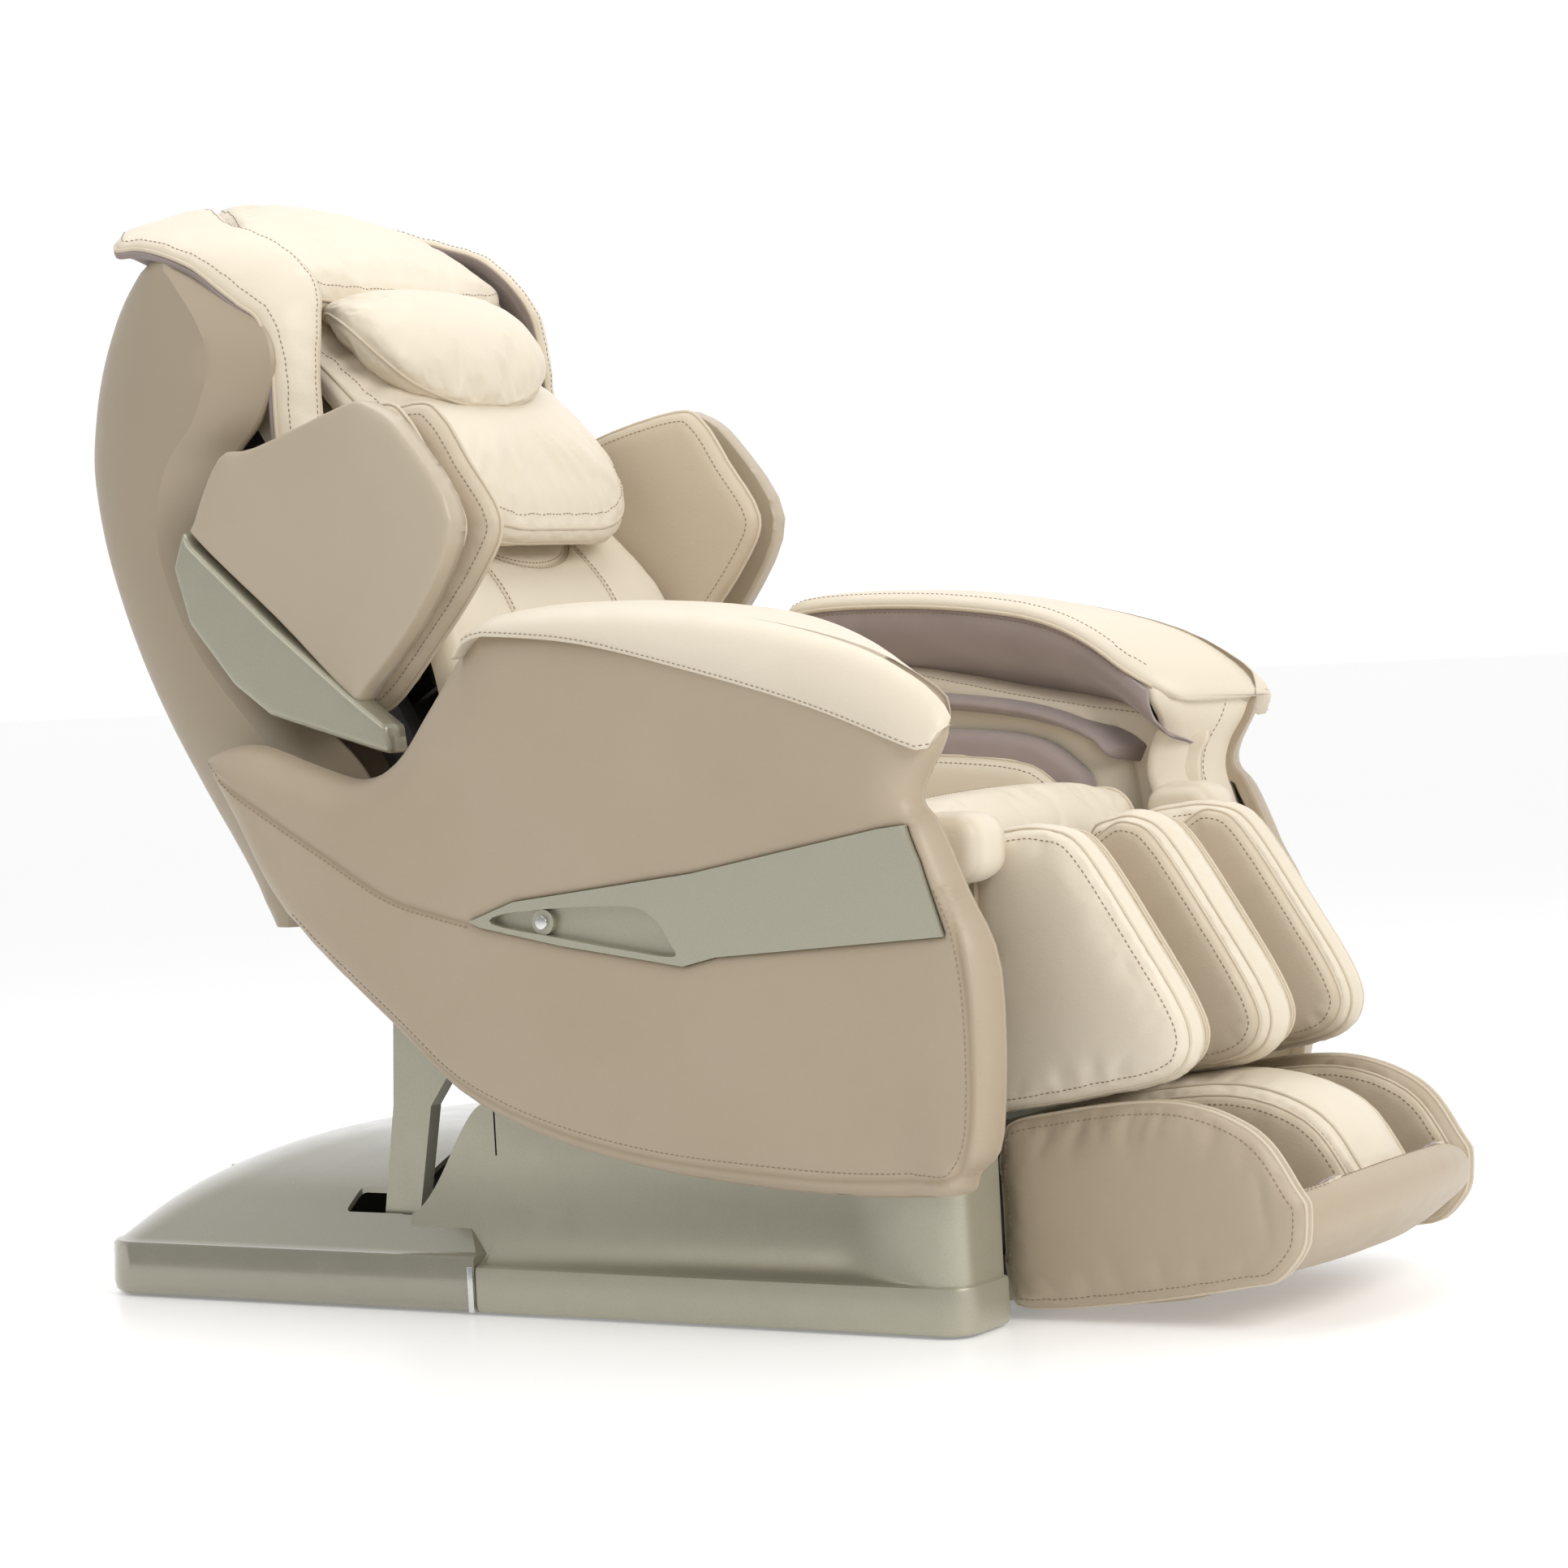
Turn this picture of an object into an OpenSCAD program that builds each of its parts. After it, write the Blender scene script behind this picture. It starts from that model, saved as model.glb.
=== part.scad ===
// Reclining massage chair: floor base, tilting seat with padded arms, reclining back
// with side wings and a travelling massage carriage, lifting calf rest and sliding footrest.
// +X points to the sitter's feet, +Y to the sitter's left, +Z up. The floor is Z = 0.

/* [Base] */
// Width of the base over its side walls
base_w = 672; // [650:1:672]
// Height of the rear base cover's side wall
rear_wall_h = 60; // [56:1:64]
// Height of the front base cover's side wall
front_wall_h = 51; // [47:1:55]
// Height of the rear cover's dome
dome_h = 166; // [160:1:170]
// Wall thickness of the base covers
cover_t = 4; // [3:0.5:5]
// Radius of a transport wheel
wheel_r = 26; // [24:1:27]

/* [Seat and arms] */
// Width of the seat cushion
seat_w = 456; // [440:1:456]
// Height of the seat cushion's front edge
seat_top = 504; // [495:1:506]
// Distance from the centre plane to a side panel's inner face
panel_in = 338; // [338:1:342]
// Thickness of a side panel
panel_t = 44; // [40:1:46]
// Depth of the pocket that holds a side trim
trim_pocket = 14; // [10:1:16]

/* [Backrest] */
// Width of the moulded back shell
shell_w = 596; // [580:1:596]
// Thickness of the back shell's wall
shell_t = 14; // [10:1:16]
// Distance from the centre plane to a wing's outer face
wing_out = 334; // [330:1:335]
// Distance from the centre plane to a wing's inner face
wing_in = 238; // [236:1:242]
// Width of the lower back cushion
cushion_w = 456; // [430:1:460]

/* [Calf rest and footrest] */
// Width of the calf rest and footrest
leg_w = 430; // [424:1:434]
// Distance from the centre plane to a calf channel's outer wall
channel_out = 146; // [142:1:148]
// Distance from the centre plane to a calf channel's inner wall
channel_in = 50; // [48:1:54]
// Thickness of a calf rest air pad
pad_t = 16; // [12:1:17]
// Width of a foot well
well_w = 92; // [88:1:94]

/* [Hidden] */
$fn = 64;

// Colours
ivory = [0.93, 0.90, 0.82];
beige = [0.74, 0.67, 0.57];
champagne = [0.68, 0.67, 0.58];
taupe = [0.50, 0.45, 0.44];
steel = [0.35, 0.36, 0.38];
silver = [0.80, 0.80, 0.80];
black = [0.08, 0.08, 0.08];

// Gap between neighbouring solids, and the running clearance of a shaft
gap = 2;
run = 0.05;

// Joint places, as [X, Z]
tilt_at = [-317, 70];
recline_at = [-282, 450];
lift_at = [385, 465];

// Half widths and the limits of the base
base_y = base_w / 2;
base_rear = -700;
seam_x = -182;
base_front = 402;
floor_gap = 3;
well_y = 288;
pedestal_y = 290;

// Frame levels
rail_y = 190;
rail_w = 40;
rail_z = 14;
rail_h = 36;
link_y = 262;
link_t = 18;
pin_r = 12;

// Actuator ends, as [X, Z]
tilt_foot = [-120, 75];
tilt_head = [100, 300];
recline_foot = [40, 335];
recline_head = [-330, 335];
eye_pin_r = 6;
eye_y = 8;
eye_t = 6;

// Massage carriage line: start point and lean from the vertical
track_at = [-300, 560];
track_lean = 30;
track_l = 540;

// ---- Curves -------------------------------------------------------------

// Point on a Catmull-Rom span from b to c
function span(a, b, c, d, t) =
  0.5 * (2 * b + (c - a) * t + (2 * a - 5 * b + 4 * c - d) * t * t
    + (3 * b - a - 3 * c + d) * t * t * t);

// Closed smooth curve through the points p, with n points to each span
function loop(p, n = 5) =
  let (m = len(p))
  [for (i = [0:m - 1], k = [0:n - 1])
    span(p[(i + m - 1) % m], p[i], p[(i + 1) % m], p[(i + 2) % m], k / n)];

// Open smooth curve through the points p
function curve(p, n = 5) =
  let (m = len(p) - 1)
  concat(
    [for (i = [0:m - 1], k = [0:n - 1])
      span(p[max(i - 1, 0)], p[i], p[i + 1], p[min(i + 2, m)], k / n)],
    [p[m]]);

// Unit normal to the left of the line p at point i
function normal(p, i) =
  let (d = p[min(i + 1, len(p) - 1)] - p[max(i - 1, 0)])
  [-d[1], d[0]] / norm(d);

// The line p moved to its left by d
function beside(p, d) = [for (i = [0:len(p) - 1]) p[i] + d * normal(p, i)];

function reverse(p) = [for (i = [len(p) - 1:-1:0]) p[i]];

// Closed outline between the line p moved by d0 and by d1
function band(p, d0, d1) = concat(beside(p, d0), reverse(beside(p, d1)));

// ---- Solids -------------------------------------------------------------

// Slab of an [X, Z] outline between two Y places
module slab(outline, y0, y1) {
  translate([0, y1, 0])
    rotate([90, 0, 0])
      linear_extrude(y1 - y0)
        polygon(outline);
}

// The same slab on both sides of the centre plane
module slab_pair(outline, y0, y1) {
  slab(outline, y0, y1);
  slab(outline, -y1, -y0);
}

// Cylinder along Y about an [X, Z] place
module rod_y(at, r, y0, y1) {
  translate([at[0], y1, at[1]])
    rotate([90, 0, 0])
      cylinder(r = r, h = y1 - y0);
}

// Box from its lowest to its highest corner
module box(a, b) {
  translate(a)
    cube(b - a);
}

// Shape drawn along +X from one [X, Z] place towards another
module aim(from, to) {
  translate([from[0], 0, from[1]])
    rotate([0, -atan2(to[1] - from[1], to[0] - from[0]), 0])
      children();
}

// Shape drawn with +Z up the massage track
module on_track() {
  translate([track_at[0], 0, track_at[1]])
    rotate([0, -track_lean, 0])
      children();
}

module right_side() {
  mirror([0, 1, 0])
    children();
}

// Closed solid through rings of matching points, from the lowest to the highest
module loft(rings) {
  n = len(rings[0]);
  m = len(rings);
  polyhedron(
    points = [for (r = rings, p = r) p],
    faces = concat(
      [[for (i = [0:n - 1]) i]],
      [for (j = [0:m - 2], i = [0:n - 1])
        [j * n + i, (j + 1) * n + i, (j + 1) * n + (i + 1) % n, j * n + (i + 1) % n]],
      [[for (i = [n - 1:-1:0]) (m - 1) * n + i]]));
}

// ---- Outlines, as [X, Z] -------------------------------------------------

// Side panel, from the top front corner round over the top, the wing notch and the hem
panel_line = loop([
  [435, 601], [421, 621], [334, 671], [198, 707], [55, 725], [-94, 724], [-137, 695],
  [-183, 634], [-228, 581], [-282, 560], [-346, 576], [-420, 600], [-476, 593],
  [-478, 576], [-448, 523], [-384, 419], [-248, 300], [-144, 217], [28, 163],
  [256, 139], [406, 143], [430, 165], [457, 205], [463, 359], [432, 436], [405, 498],
  [388, 522], [394, 545], [418, 579]], 4);

// Champagne insert of the side panel, and the pocket inside it
trim_line = [
  [-131, 413], [-73, 433], [144, 459], [360, 499], [387, 502], [403, 467], [427, 395],
  [168, 376], [129, 367], [-16, 388], [-116, 407]];
recess_line = loop([
  [-100, 411], [-70, 423], [60, 428], [97, 416], [116, 390], [118, 377], [60, 384],
  [-16, 396]], 4);
boss_at = [-39, 412];

// Top line of an arm, from the back to the front
arm_line = curve([[-94, 722], [-20, 726], [55, 724], [198, 706], [334, 670], [396, 636]]);
arm_depth = 32;
channel_depth = 72;
flap_depth = 24;

// Rear surface of the back shell, from the bottom to the top
shell_rear = [
  [-472, 402], [-565, 528], [-637, 655], [-686, 783], [-710, 892], [-708, 964],
  [-688, 1034], [-650, 1094], [-601, 1134], [-543, 1139]];
// Front edge of the shell's cheeks, from the top to the bottom
shell_front = [
  [-494, 1112], [-455, 1060], [-440, 1010], [-462, 950], [-505, 905], [-524, 836],
  [-508, 762], [-470, 690], [-410, 625], [-345, 560], [-325, 490], [-395, 402]];
shell_line = concat(curve(shell_rear), curve(shell_front));

// Wing cover, its trim below, and the pads inside it
wing_line = loop([
  [-468, 908], [-421, 915], [-289, 951], [-252, 950], [-207, 917], [-150, 823],
  [-200, 726], [-278, 652], [-300, 648], [-400, 732], [-505, 822], [-507, 842]], 4);
wing_trim_line = [
  [-521, 832], [-536, 793], [-518, 732], [-462, 665], [-415, 631], [-278, 590],
  [-257, 585], [-260, 614], [-296, 640], [-404, 725], [-510, 816]];
wing_pad_line = loop([
  [-270, 951], [-236, 936], [-205, 888], [-167, 824], [-189, 774], [-250, 702],
  [-316, 633], [-350, 645], [-410, 700], [-462, 800], [-455, 885], [-380, 925]], 4);

// Front surface of the back cushion, from the seat to the head
cushion_line = curve([
  [-222, 500], [-226, 620], [-256, 730], [-318, 803], [-399, 876], [-480, 988],
  [-546, 1099]]);
neck_line = loop([
  [-246, 806], [-266, 860], [-336, 940], [-414, 1008], [-478, 1056], [-526, 1089],
  [-529, 1077], [-468, 997], [-386, 885], [-322, 812], [-276, 788]], 4);
pillow_line = loop([
  [-452, 1076], [-430, 1086], [-388, 1070], [-345, 1030], [-322, 985], [-328, 962],
  [-352, 963], [-374, 985], [-410, 1019], [-450, 1052]], 4);
top_line = curve([
  [-728, 1182], [-700, 1206], [-650, 1214], [-575, 1190], [-505, 1150], [-444, 1108]]);
flap_line = curve([
  [-716, 1140], [-690, 1166], [-640, 1180], [-560, 1173], [-478, 1150], [-418, 1096],
  [-400, 1030], [-396, 950]]);

// Seat cushion, calf rest ridge, calf channel floor and footrest
seat_line = loop([
  [-232, 412], [-236, 440], [-200, 455], [0, 474], [200, 494], [290, seat_top],
  [322, 497], [335, 470], [331, 420], [318, 407], [200, 406], [-200, 406]], 4);
ridge_line = loop([
  [399, 470], [424, 482], [450, 484], [484, 464], [541, 377], [583, 306], [588, 268],
  [562, 242], [480, 224], [399, 208], [398, 250], [398, 420]], 4);
floor_line = [[376, 206], [470, 226], [498, 238], [482, 276], [408, 430], [376, 452]];
foot_side_line = loop([
  [380, 182], [442, 205], [567, 217], [652, 190], [694, 136], [702, 116], [668, 97],
  [600, 88], [424, 88], [386, 96]], 4);
foot_base_line = loop([
  [378, 76], [400, 80], [600, 79], [668, 88], [712, 109], [728, 103], [716, 74],
  [672, 50], [530, 24], [402, 12], [382, 30]], 4);

// ---- Base ----------------------------------------------------------------

// Steel floor frame with the tilt bearings, their pins and the wheel axles
module base_frame() {
  color(steel) {
    difference() {
      union() {
        for (s = [-1, 1])
          translate([-640, s > 0 ? rail_y : -rail_y - rail_w, rail_z])
            cube([970, rail_w, rail_h]);
        for (x = [-640, -480, -200, 290])
          box([x, -rail_y, rail_z], [x + 40, rail_y, rail_z + rail_h]);
      }
      for (s = [-1, 1])
        box([-630, s * (rail_y + rail_w / 2) - 16, rail_z + 3],
            [320, s * (rail_y + rail_w / 2) + 16, rail_z + rail_h - 3]);
    }
    for (s = [0, 1])
      mirror([0, s, 0])
        translate([0, 238, 0])
          tilt_bearing();
    for (s = [-1, 1])
      rod_y(tilt_at, pin_r, min(s * 250, s * 286), max(s * 250, s * 286));
    for (s = [-1, 1])
      rod_y([-600, 30], 6, min(s * 228, s * 290), max(s * 228, s * 290));
    slab_pair([[-150, 45], [-96, 45], [-106, 86], [-134, 86]], eye_y + eye_t + 2, 24);
    rod_y(tilt_foot, eye_pin_r, -24, 24);
    box([-160, -24, rail_z], [-90, 24, 46]);
  }
}

// Upright plate that carries one tilt pin, on a foot that reaches the rail
module tilt_bearing() {
  slab([[-352, rail_z], [-282, rail_z], [-296, 84], [-306, 92], [-328, 92], [-338, 84]], 0, 18);
  for (y = [-10, 8])
    box([-352, y, rail_z], [-282, y + 12, rail_z + 10]);
}

// Half width and rear end of the rear cover's rings, by height
function dome_ring(h, y, rear, front, r) =
  concat(
    arc_xy(rear + r, -y + r, r, 180, 270, h),
    [[front, -y, h]],
    [[front, y, h]],
    arc_xy(rear + r, y - r, r, 90, 180, h));

function arc_xy(cx, cy, r, a0, a1, h, n = 8) =
  [for (k = [0:n]) let (a = a0 + (a1 - a0) * k / n) [cx + r * cos(a), cy + r * sin(a), h]];

// Rings of the dome, shrunk by t on every side
function dome_rings(t) = [
  dome_ring(floor_gap - (t > 0 ? 1 : 0), base_y - 5 - t, base_rear + 5 + t, seam_x, 45),
  dome_ring(16, base_y - t, base_rear + t, seam_x, 48),
  dome_ring(rear_wall_h - t, base_y - t, base_rear + t, seam_x, 52),
  dome_ring(96 - t, base_y - 50 - t, base_rear + 28 + t, seam_x - 40, 80),
  dome_ring(124 - t, base_y - 92 - t, base_rear + 68 + t, seam_x - 80, 90),
  dome_ring(148 - t, base_y - 150 - t, base_rear + 124 + t, seam_x - 100, 90),
  dome_ring(dome_h - 3 - t, base_y - 206 - t, base_rear + 184 + t, seam_x - 120, 80),
  dome_ring(dome_h - t, base_y - 250 - t, base_rear + 250 + t, seam_x - 130, 60)];

// Domed rear cover with the two wells that the seat links swing in
module base_rear_cover() {
  color(champagne)
    difference() {
      loft(dome_rings(0));
      loft(dome_rings(cover_t));
      box([seam_x - 130, -well_y, 0], [seam_x + 10, well_y, dome_h + 20]);
      for (s = [-1, 1])
        box([-420, s * 271 - 16, 62], [-300, s * 271 + 16, dome_h]);
      power_place()
        box([-20, -37, -12], [20, 37, 40]);
    }
}

// Outline in Y and Z of the front cover: a side wall and a flare up to the pedestal
function pedestal_line(t) = concat(
  [[base_y - t, t > 0 ? -1 : floor_gap], [base_y - t, front_wall_h - 3]],
  [for (k = [0:6]) let (a = 90 * k / 6)
    [base_y - 8 - t - (base_y - 8 - pedestal_y) * sin(a),
      front_wall_h + 108 - 105 * cos(a) - t * 0.6]],
  [[pedestal_y - t, 262]]);

// Front cover and pedestal, open at the top, with its two front posts
module base_front_cover() {
  outer = pedestal_line(0);
  inner = pedestal_line(cover_t);
  color(champagne) {
    for (s = [0, 1])
      mirror([0, s, 0]) {
        translate([seam_x + 2, 0, 0])
          rotate([90, 0, 90])
            linear_extrude(base_front - 62 - seam_x - 2)
              polygon(concat(outer, reverse(inner)));
        box([base_front - 62, 240, floor_gap], [base_front, base_y, 200]);
      }
    box([base_front - 66, -240, floor_gap], [base_front - 62, 240, 186]);
  }
}

// Upright covers behind the pedestal, in front of the seat links
module column_covers() {
  color(champagne)
    for (s = [-1, 1])
      box([-282, min(s * 286, s * pedestal_y), 102],
          [seam_x + 2, max(s * 286, s * pedestal_y), 216]);
}

// Bright strips over the seam between the two base covers
module seam_strips() {
  color(silver)
    for (s = [-1, 1])
      box([seam_x - 8, min(s * base_y, s * (base_y + 2)), floor_gap],
          [seam_x - 1, max(s * base_y, s * (base_y + 2)), front_wall_h]);
}

module rubber_feet() {
  color(black)
    for (x = [-580, -180, 300], s = [-1, 1])
      translate([x, s * (rail_y + rail_w / 2), 0])
        cylinder(r = 20, h = rail_z);
}

// Control electronics on the floor frame
module control_box() {
  color(black)
    box([-520, -150, rail_z + rail_h], [-380, 150, 108]);
}

// Place of the power panel, its +Z pointing out of the rear slope
module power_place() {
  translate([-650, -128, 106])
    rotate([0, -46, 0])
      children();
}

// Panel with the mains inlet and the opening for the rocker
module power_panel() {
  color(black)
    power_place()
      difference() {
        box([-17, -35, -14], [17, 35, 6]);
        box([-11, -30, -2], [11, -4, 7]);
        box([-9, 6, -10], [9, 30, 7]);
      }
  color(silver)
    power_place()
      translate([0, 32, 2])
        rotate([90, 0, 0])
          cylinder(r = 1.5, h = 28);
}

// Rocker of the mains switch, on the panel's pin
module power_rocker() {
  color(steel)
    power_place()
      translate([0, 18, 2])
        rotate([90, 6, 0])
          linear_extrude(20, center = true)
            difference() {
              polygon([[-8, 0], [-8, 5], [0, 4], [8, 5], [8, 0], [4, -5], [-4, -5]]);
              circle(1.5 + run);
            }
}

module wheel() {
  color(black)
    difference() {
      rod_y([-600, 30], wheel_r, 252, 284);
      rod_y([-600, 30], 6 + run, 250, 286);
    }
}

// ---- Seat ----------------------------------------------------------------

// Side plates with the tilt links and hinge ears, cross tubes and the seat pan
module seat_frame() {
  color(steel) {
    difference() {
      slab_pair(concat(
        [[-340, 72], [-335, 52], [-317, 46], [-299, 52], [-294, 72], [-268, 210], [-200, 300]],
        [[330, 300], [372, 420], [404, 450], [406, 478], [385, 488], [366, 478], [352, 440]],
        [[320, 396], [-240, 396], [-258, 470], [-282, 480], [-306, 470], [-316, 440]],
        [[-312, 300], [-318, 210]]), link_y, link_y + link_t);
      for (s = [-1, 1]) {
        rod_y(tilt_at, pin_r + run, min(s * 255, s * 290), max(s * 255, s * 290));
        rod_y(recline_at, pin_r + run, min(s * 255, s * 290), max(s * 255, s * 290));
        rod_y(lift_at, pin_r + run, min(s * 255, s * 290), max(s * 255, s * 290));
      }
    }
    for (at = [[-284, 262], [100, 342], [310, 330]])
      rod_y(at, 16, -link_y - 4, link_y + 4);
    box([-236, -link_y - 4, 396], [318, link_y + 4, 404]);
    slab_pair([[78, 342], [122, 342], [114, 296], [100, 288], [86, 296]], eye_y + eye_t + 2, 24);
    rod_y(tilt_head, eye_pin_r, -24, 24);
    slab_pair([[16, 400], [64, 400], [54, 328], [40, 320], [26, 328]], eye_y + eye_t + 2, 24);
    rod_y(recline_foot, eye_pin_r, -24, 24);
  }
}

module seat_cushion() {
  color(ivory)
    slab(seat_line, -seat_w / 2, seat_w / 2);
}

// Fabric flap under the seat's front edge
module seat_flap() {
  color(taupe)
    box([320, -seat_w / 2, 352], [334, seat_w / 2, 402]);
}

// Upholstered side panel with the pocket for its insert
module side_panel() {
  color(beige)
    difference() {
      slab(panel_line, panel_in, panel_in + panel_t);
      slab(trim_line, panel_in + panel_t - trim_pocket, panel_in + panel_t + 1);
    }
}

// Champagne insert with its recess and the boss in it
module trim() {
  y_out = panel_in + panel_t;
  color(champagne)
    intersection() {
      slab([for (p = trim_line) p * 0.994 + [0.9, 2.6]], y_out - trim_pocket, y_out + 2);
      difference() {
        box([-200, y_out - trim_pocket, 300], [500, y_out + 2, 600]);
        difference() {
          slab(recess_line, y_out - trim_pocket + 4, y_out + 3);
          rod_y(boss_at, 13, y_out - trim_pocket, y_out - 2);
        }
        rod_y(boss_at, 3 + run, y_out - trim_pocket - 1, y_out + 3);
      }
    }
}

// Hexagon screws in the insert bosses
module boss_screws() {
  color(silver)
    for (s = [-1, 1]) {
      rod_y(boss_at, 3, min(s * 369, s * 380), max(s * 369, s * 380));
      rod_y(boss_at, 7, min(s * 380, s * 384), max(s * 380, s * 384));
    }
}

module arm_top() {
  color(ivory)
    slab(band(arm_line, 0, -arm_depth), 226, panel_in - gap);
}

// Lined wall and lower flap of the forearm channel
module arm_channel() {
  low = arm_depth + gap + channel_depth;
  color(taupe) {
    slab(band(arm_line, -arm_depth - gap, -low), 306, panel_in - gap);
    slab(band(arm_line, -low, -low - flap_depth), 240, panel_in - gap);
  }
}

// Cushion that lines the inside of an arm beside the seat
module side_pad() {
  color(ivory)
    slab(loop([[-96, 420], [-98, 560], [-60, 572], [66, 574], [186, 562], [238, 534],
      [262, 500], [264, 420], [200, 408], [-60, 408]], 4), 232, 258);
}

// Board that carries an arm and its side panel
module arm_frame() {
  color(steel)
    slab([[-150, 300], [330, 300], [390, 470], [330, 520], [240, 548], [120, 580],
      [0, 588], [-90, 582], [-130, 560]], 306, panel_in - gap);
}

// Gear motor of the calf rest, hung under the seat pan
module legrest_motor() {
  color(black) {
    box([190, -120, 350], [292, -40, 395]);
    rod_y([241, 345], 30, -120, -40);
  }
}

// ---- Seat actuator ---------------------------------------------------------

// Barrel drawn along +X from its eye, with a motor housing beside it
module cylinder_body(length) {
  difference() {
    union() {
      for (y = [-eye_y - eye_t, eye_y])
        translate([0, y, 0]) {
          rod_y([0, 0], 14, 0, eye_t);
          box([0, 0, -8], [36, eye_t, 8]);
        }
      box([24, -22, -20], [60, 22, 20]);
      translate([60, 0, 0])
        rotate([0, 90, 0])
          cylinder(r = 16, h = length - 60);
    }
    rod_y([0, 0], eye_pin_r + run, -30, 30);
    translate([40, 0, 0])
      rotate([0, 90, 0])
        cylinder(r = 10 + run, h = length);
  }
}

// Rod drawn along +X inside the barrel; its eye clears the head pin all round
module cylinder_rod(start, length, loose) {
  translate([start, 0, 0])
    rotate([0, 90, 0])
      cylinder(r = 10, h = length - start - eye_pin_r - loose - 3);
  difference() {
    union() {
      rod_y([length, 0], eye_pin_r + loose + 6, -eye_y + 1, eye_y - 1);
      box([length - eye_pin_r - loose - 14, -eye_y + 1, -8], [length - 8, eye_y - 1, 8]);
    }
    rod_y([length, 0], eye_pin_r + loose, -eye_y - 1, eye_y + 1);
  }
}

module tilt_cylinder() {
  color(black)
    aim(tilt_foot, tilt_head)
      cylinder_body(230);
}

module tilt_rod() {
  color(silver)
    aim(tilt_foot, tilt_head)
      cylinder_rod(70, norm(tilt_head - tilt_foot), 6);
}

module recline_cylinder() {
  color(black)
    aim(recline_foot, recline_head)
      cylinder_body(240);
}

module recline_rod() {
  color(silver)
    aim(recline_foot, recline_head)
      cylinder_rod(150, norm(recline_head - recline_foot), 12);
}

// ---- Backrest --------------------------------------------------------------

// Side members with the hinge pins, cross tubes, the lever and the carriage tracks
module back_frame() {
  color(steel) {
    slab_pair([[-310, 436], [-296, 424], [-268, 424], [-256, 436], [-266, 512], [-300, 566],
      [-560, 1034], [-596, 1034], [-592, 1012], [-335, 560], [-312, 500]], 196, 208);
    for (s = [-1, 1])
      rod_y(recline_at, pin_r, min(s * 204, s * 284), max(s * 204, s * 284));
    for (at = [recline_at, [-572, 1018]])
      rod_y(at, 14, -198, 198);
    slab_pair([[-304, 450], [-260, 450], [-318, 326], [-330, 322], [-342, 330]], 9, 17);
    rod_y(recline_head, eye_pin_r, -17, 17);
    on_track()
      for (s = [-1, 1])
        difference() {
          box([-50, min(s * 162, s * 196), 0], [-10, max(s * 162, s * 196), track_l]);
          box([-44, min(s * 160, s * 190), -1], [-16, max(s * 160, s * 190), track_l + 1]);
        }
  }
}

// Moulded shell: a curved rear wall with a cheek on each side
module back_shell() {
  y = shell_w / 2;
  rear = curve(shell_rear);
  color(beige)
    difference() {
      slab(shell_line, -y, y);
      slab(concat(beside(rear, -shell_t), [[-520, 1100], [-300, 1200], [-100, 300]]),
        -y + shell_t, y - shell_t);
      box([-640, -250, 1090], [-300, 250, 1200]);
    }
}

// Upholstered lower back, carried up behind the neck pad
module back_cushion() {
  color(ivory)
    slab(band(cushion_line, 0, 36), -cushion_w / 2, cushion_w / 2);
}

// Centre pad over the top of the back
module top_cover() {
  color(ivory)
    slab(band(top_line, 0, -26), -184, 184);
}

// Side pad over the shoulder of the back
module shoulder_flap() {
  color(ivory)
    slab(band(flap_line, 0, -18), 188, 288);
}

module wing_cover() {
  color(beige)
    slab(wing_line, 300, wing_out);
}

module wing_trim() {
  color(champagne)
    slab(wing_trim_line, 300, wing_out);
}

// Two air pads inside a wing
module wing_pads() {
  mid = (wing_in + 298) / 2;
  color(ivory) {
    slab(wing_pad_line, wing_in, mid - gap / 2);
    slab([for (p = wing_pad_line) p + [-9, 0]], mid + gap / 2, 298);
  }
}

module neck_pad() {
  color(ivory)
    slab(neck_line, -186, 186);
}

module pillow() {
  color(ivory)
    slab(pillow_line, -160, 160);
}

// ---- Massage carriage --------------------------------------------------------

// Carriage plate, motor and side guides that run in the tracks
module carriage() {
  color(black)
    on_track() {
      difference() {
        box([-52, -150, 60], [-38, 150, 190]);
        box([-54, -90, 100], [-30, 90, 150]);
      }
      box([-110, -70, 80], [-50, 70, 170]);
      for (s = [-1, 1], z = [80, 170])
        translate([-30, s * 168, z])
          rotate([90, 0, 0])
            cylinder(r = 13, h = 38, center = true);
      for (s = [-1, 1])
        difference() {
          box([-42, s * 125 - 6, 100], [8, s * 125 + 6, 150]);
          translate([-8, s * 125, 125])
            rotate([90, 0, 0])
              cylinder(r = 8 + run, h = 30, center = true);
        }
    }
}

// Driven shaft with eccentric discs and massage balls
module kneading_heads() {
  color(taupe)
    on_track()
      translate([-8, 0, 125]) {
        rotate([90, 0, 0])
          cylinder(r = 8, h = 270, center = true);
        for (y = [-85, -45, 45, 85])
          translate([abs(y) > 60 ? 6 : -6, y, 0])
            rotate([90, 0, 0])
              cylinder(r = 21, h = 22, center = true);
      }
}

// ---- Calf rest and footrest ----------------------------------------------------

// Hinge tube, side bars with the footrest guides, and a cross bar
module legrest_frame() {
  color(steel) {
    difference() {
      union() {
        for (s = [-1, 1])
          rod_y(lift_at, pin_r, min(s * 216, s * 284), max(s * 216, s * 284));
        slab_pair([[352, 206], [373, 206], [373, 440], [400, 458], [398, 478], [372, 478],
          [352, 440]], 216.5, 226);
        box([352, -218, 330], [372, 218, 350]);
        box([352, -218, 214], [372, 218, 234]);
      }
      for (s = [-1, 1])
        translate([362, s * 180, 200])
          cylinder(r = 8 + run, h = 200);
    }
  }
}

// Board behind the calves, with the floors of the two channels
module calf_pan() {
  color(beige) {
    box([374, -leg_w / 2, 206], [388, leg_w / 2, 446]);
    slab_pair(floor_line, channel_in - pad_t + 1, channel_out + pad_t - 1);
  }
}

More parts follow.
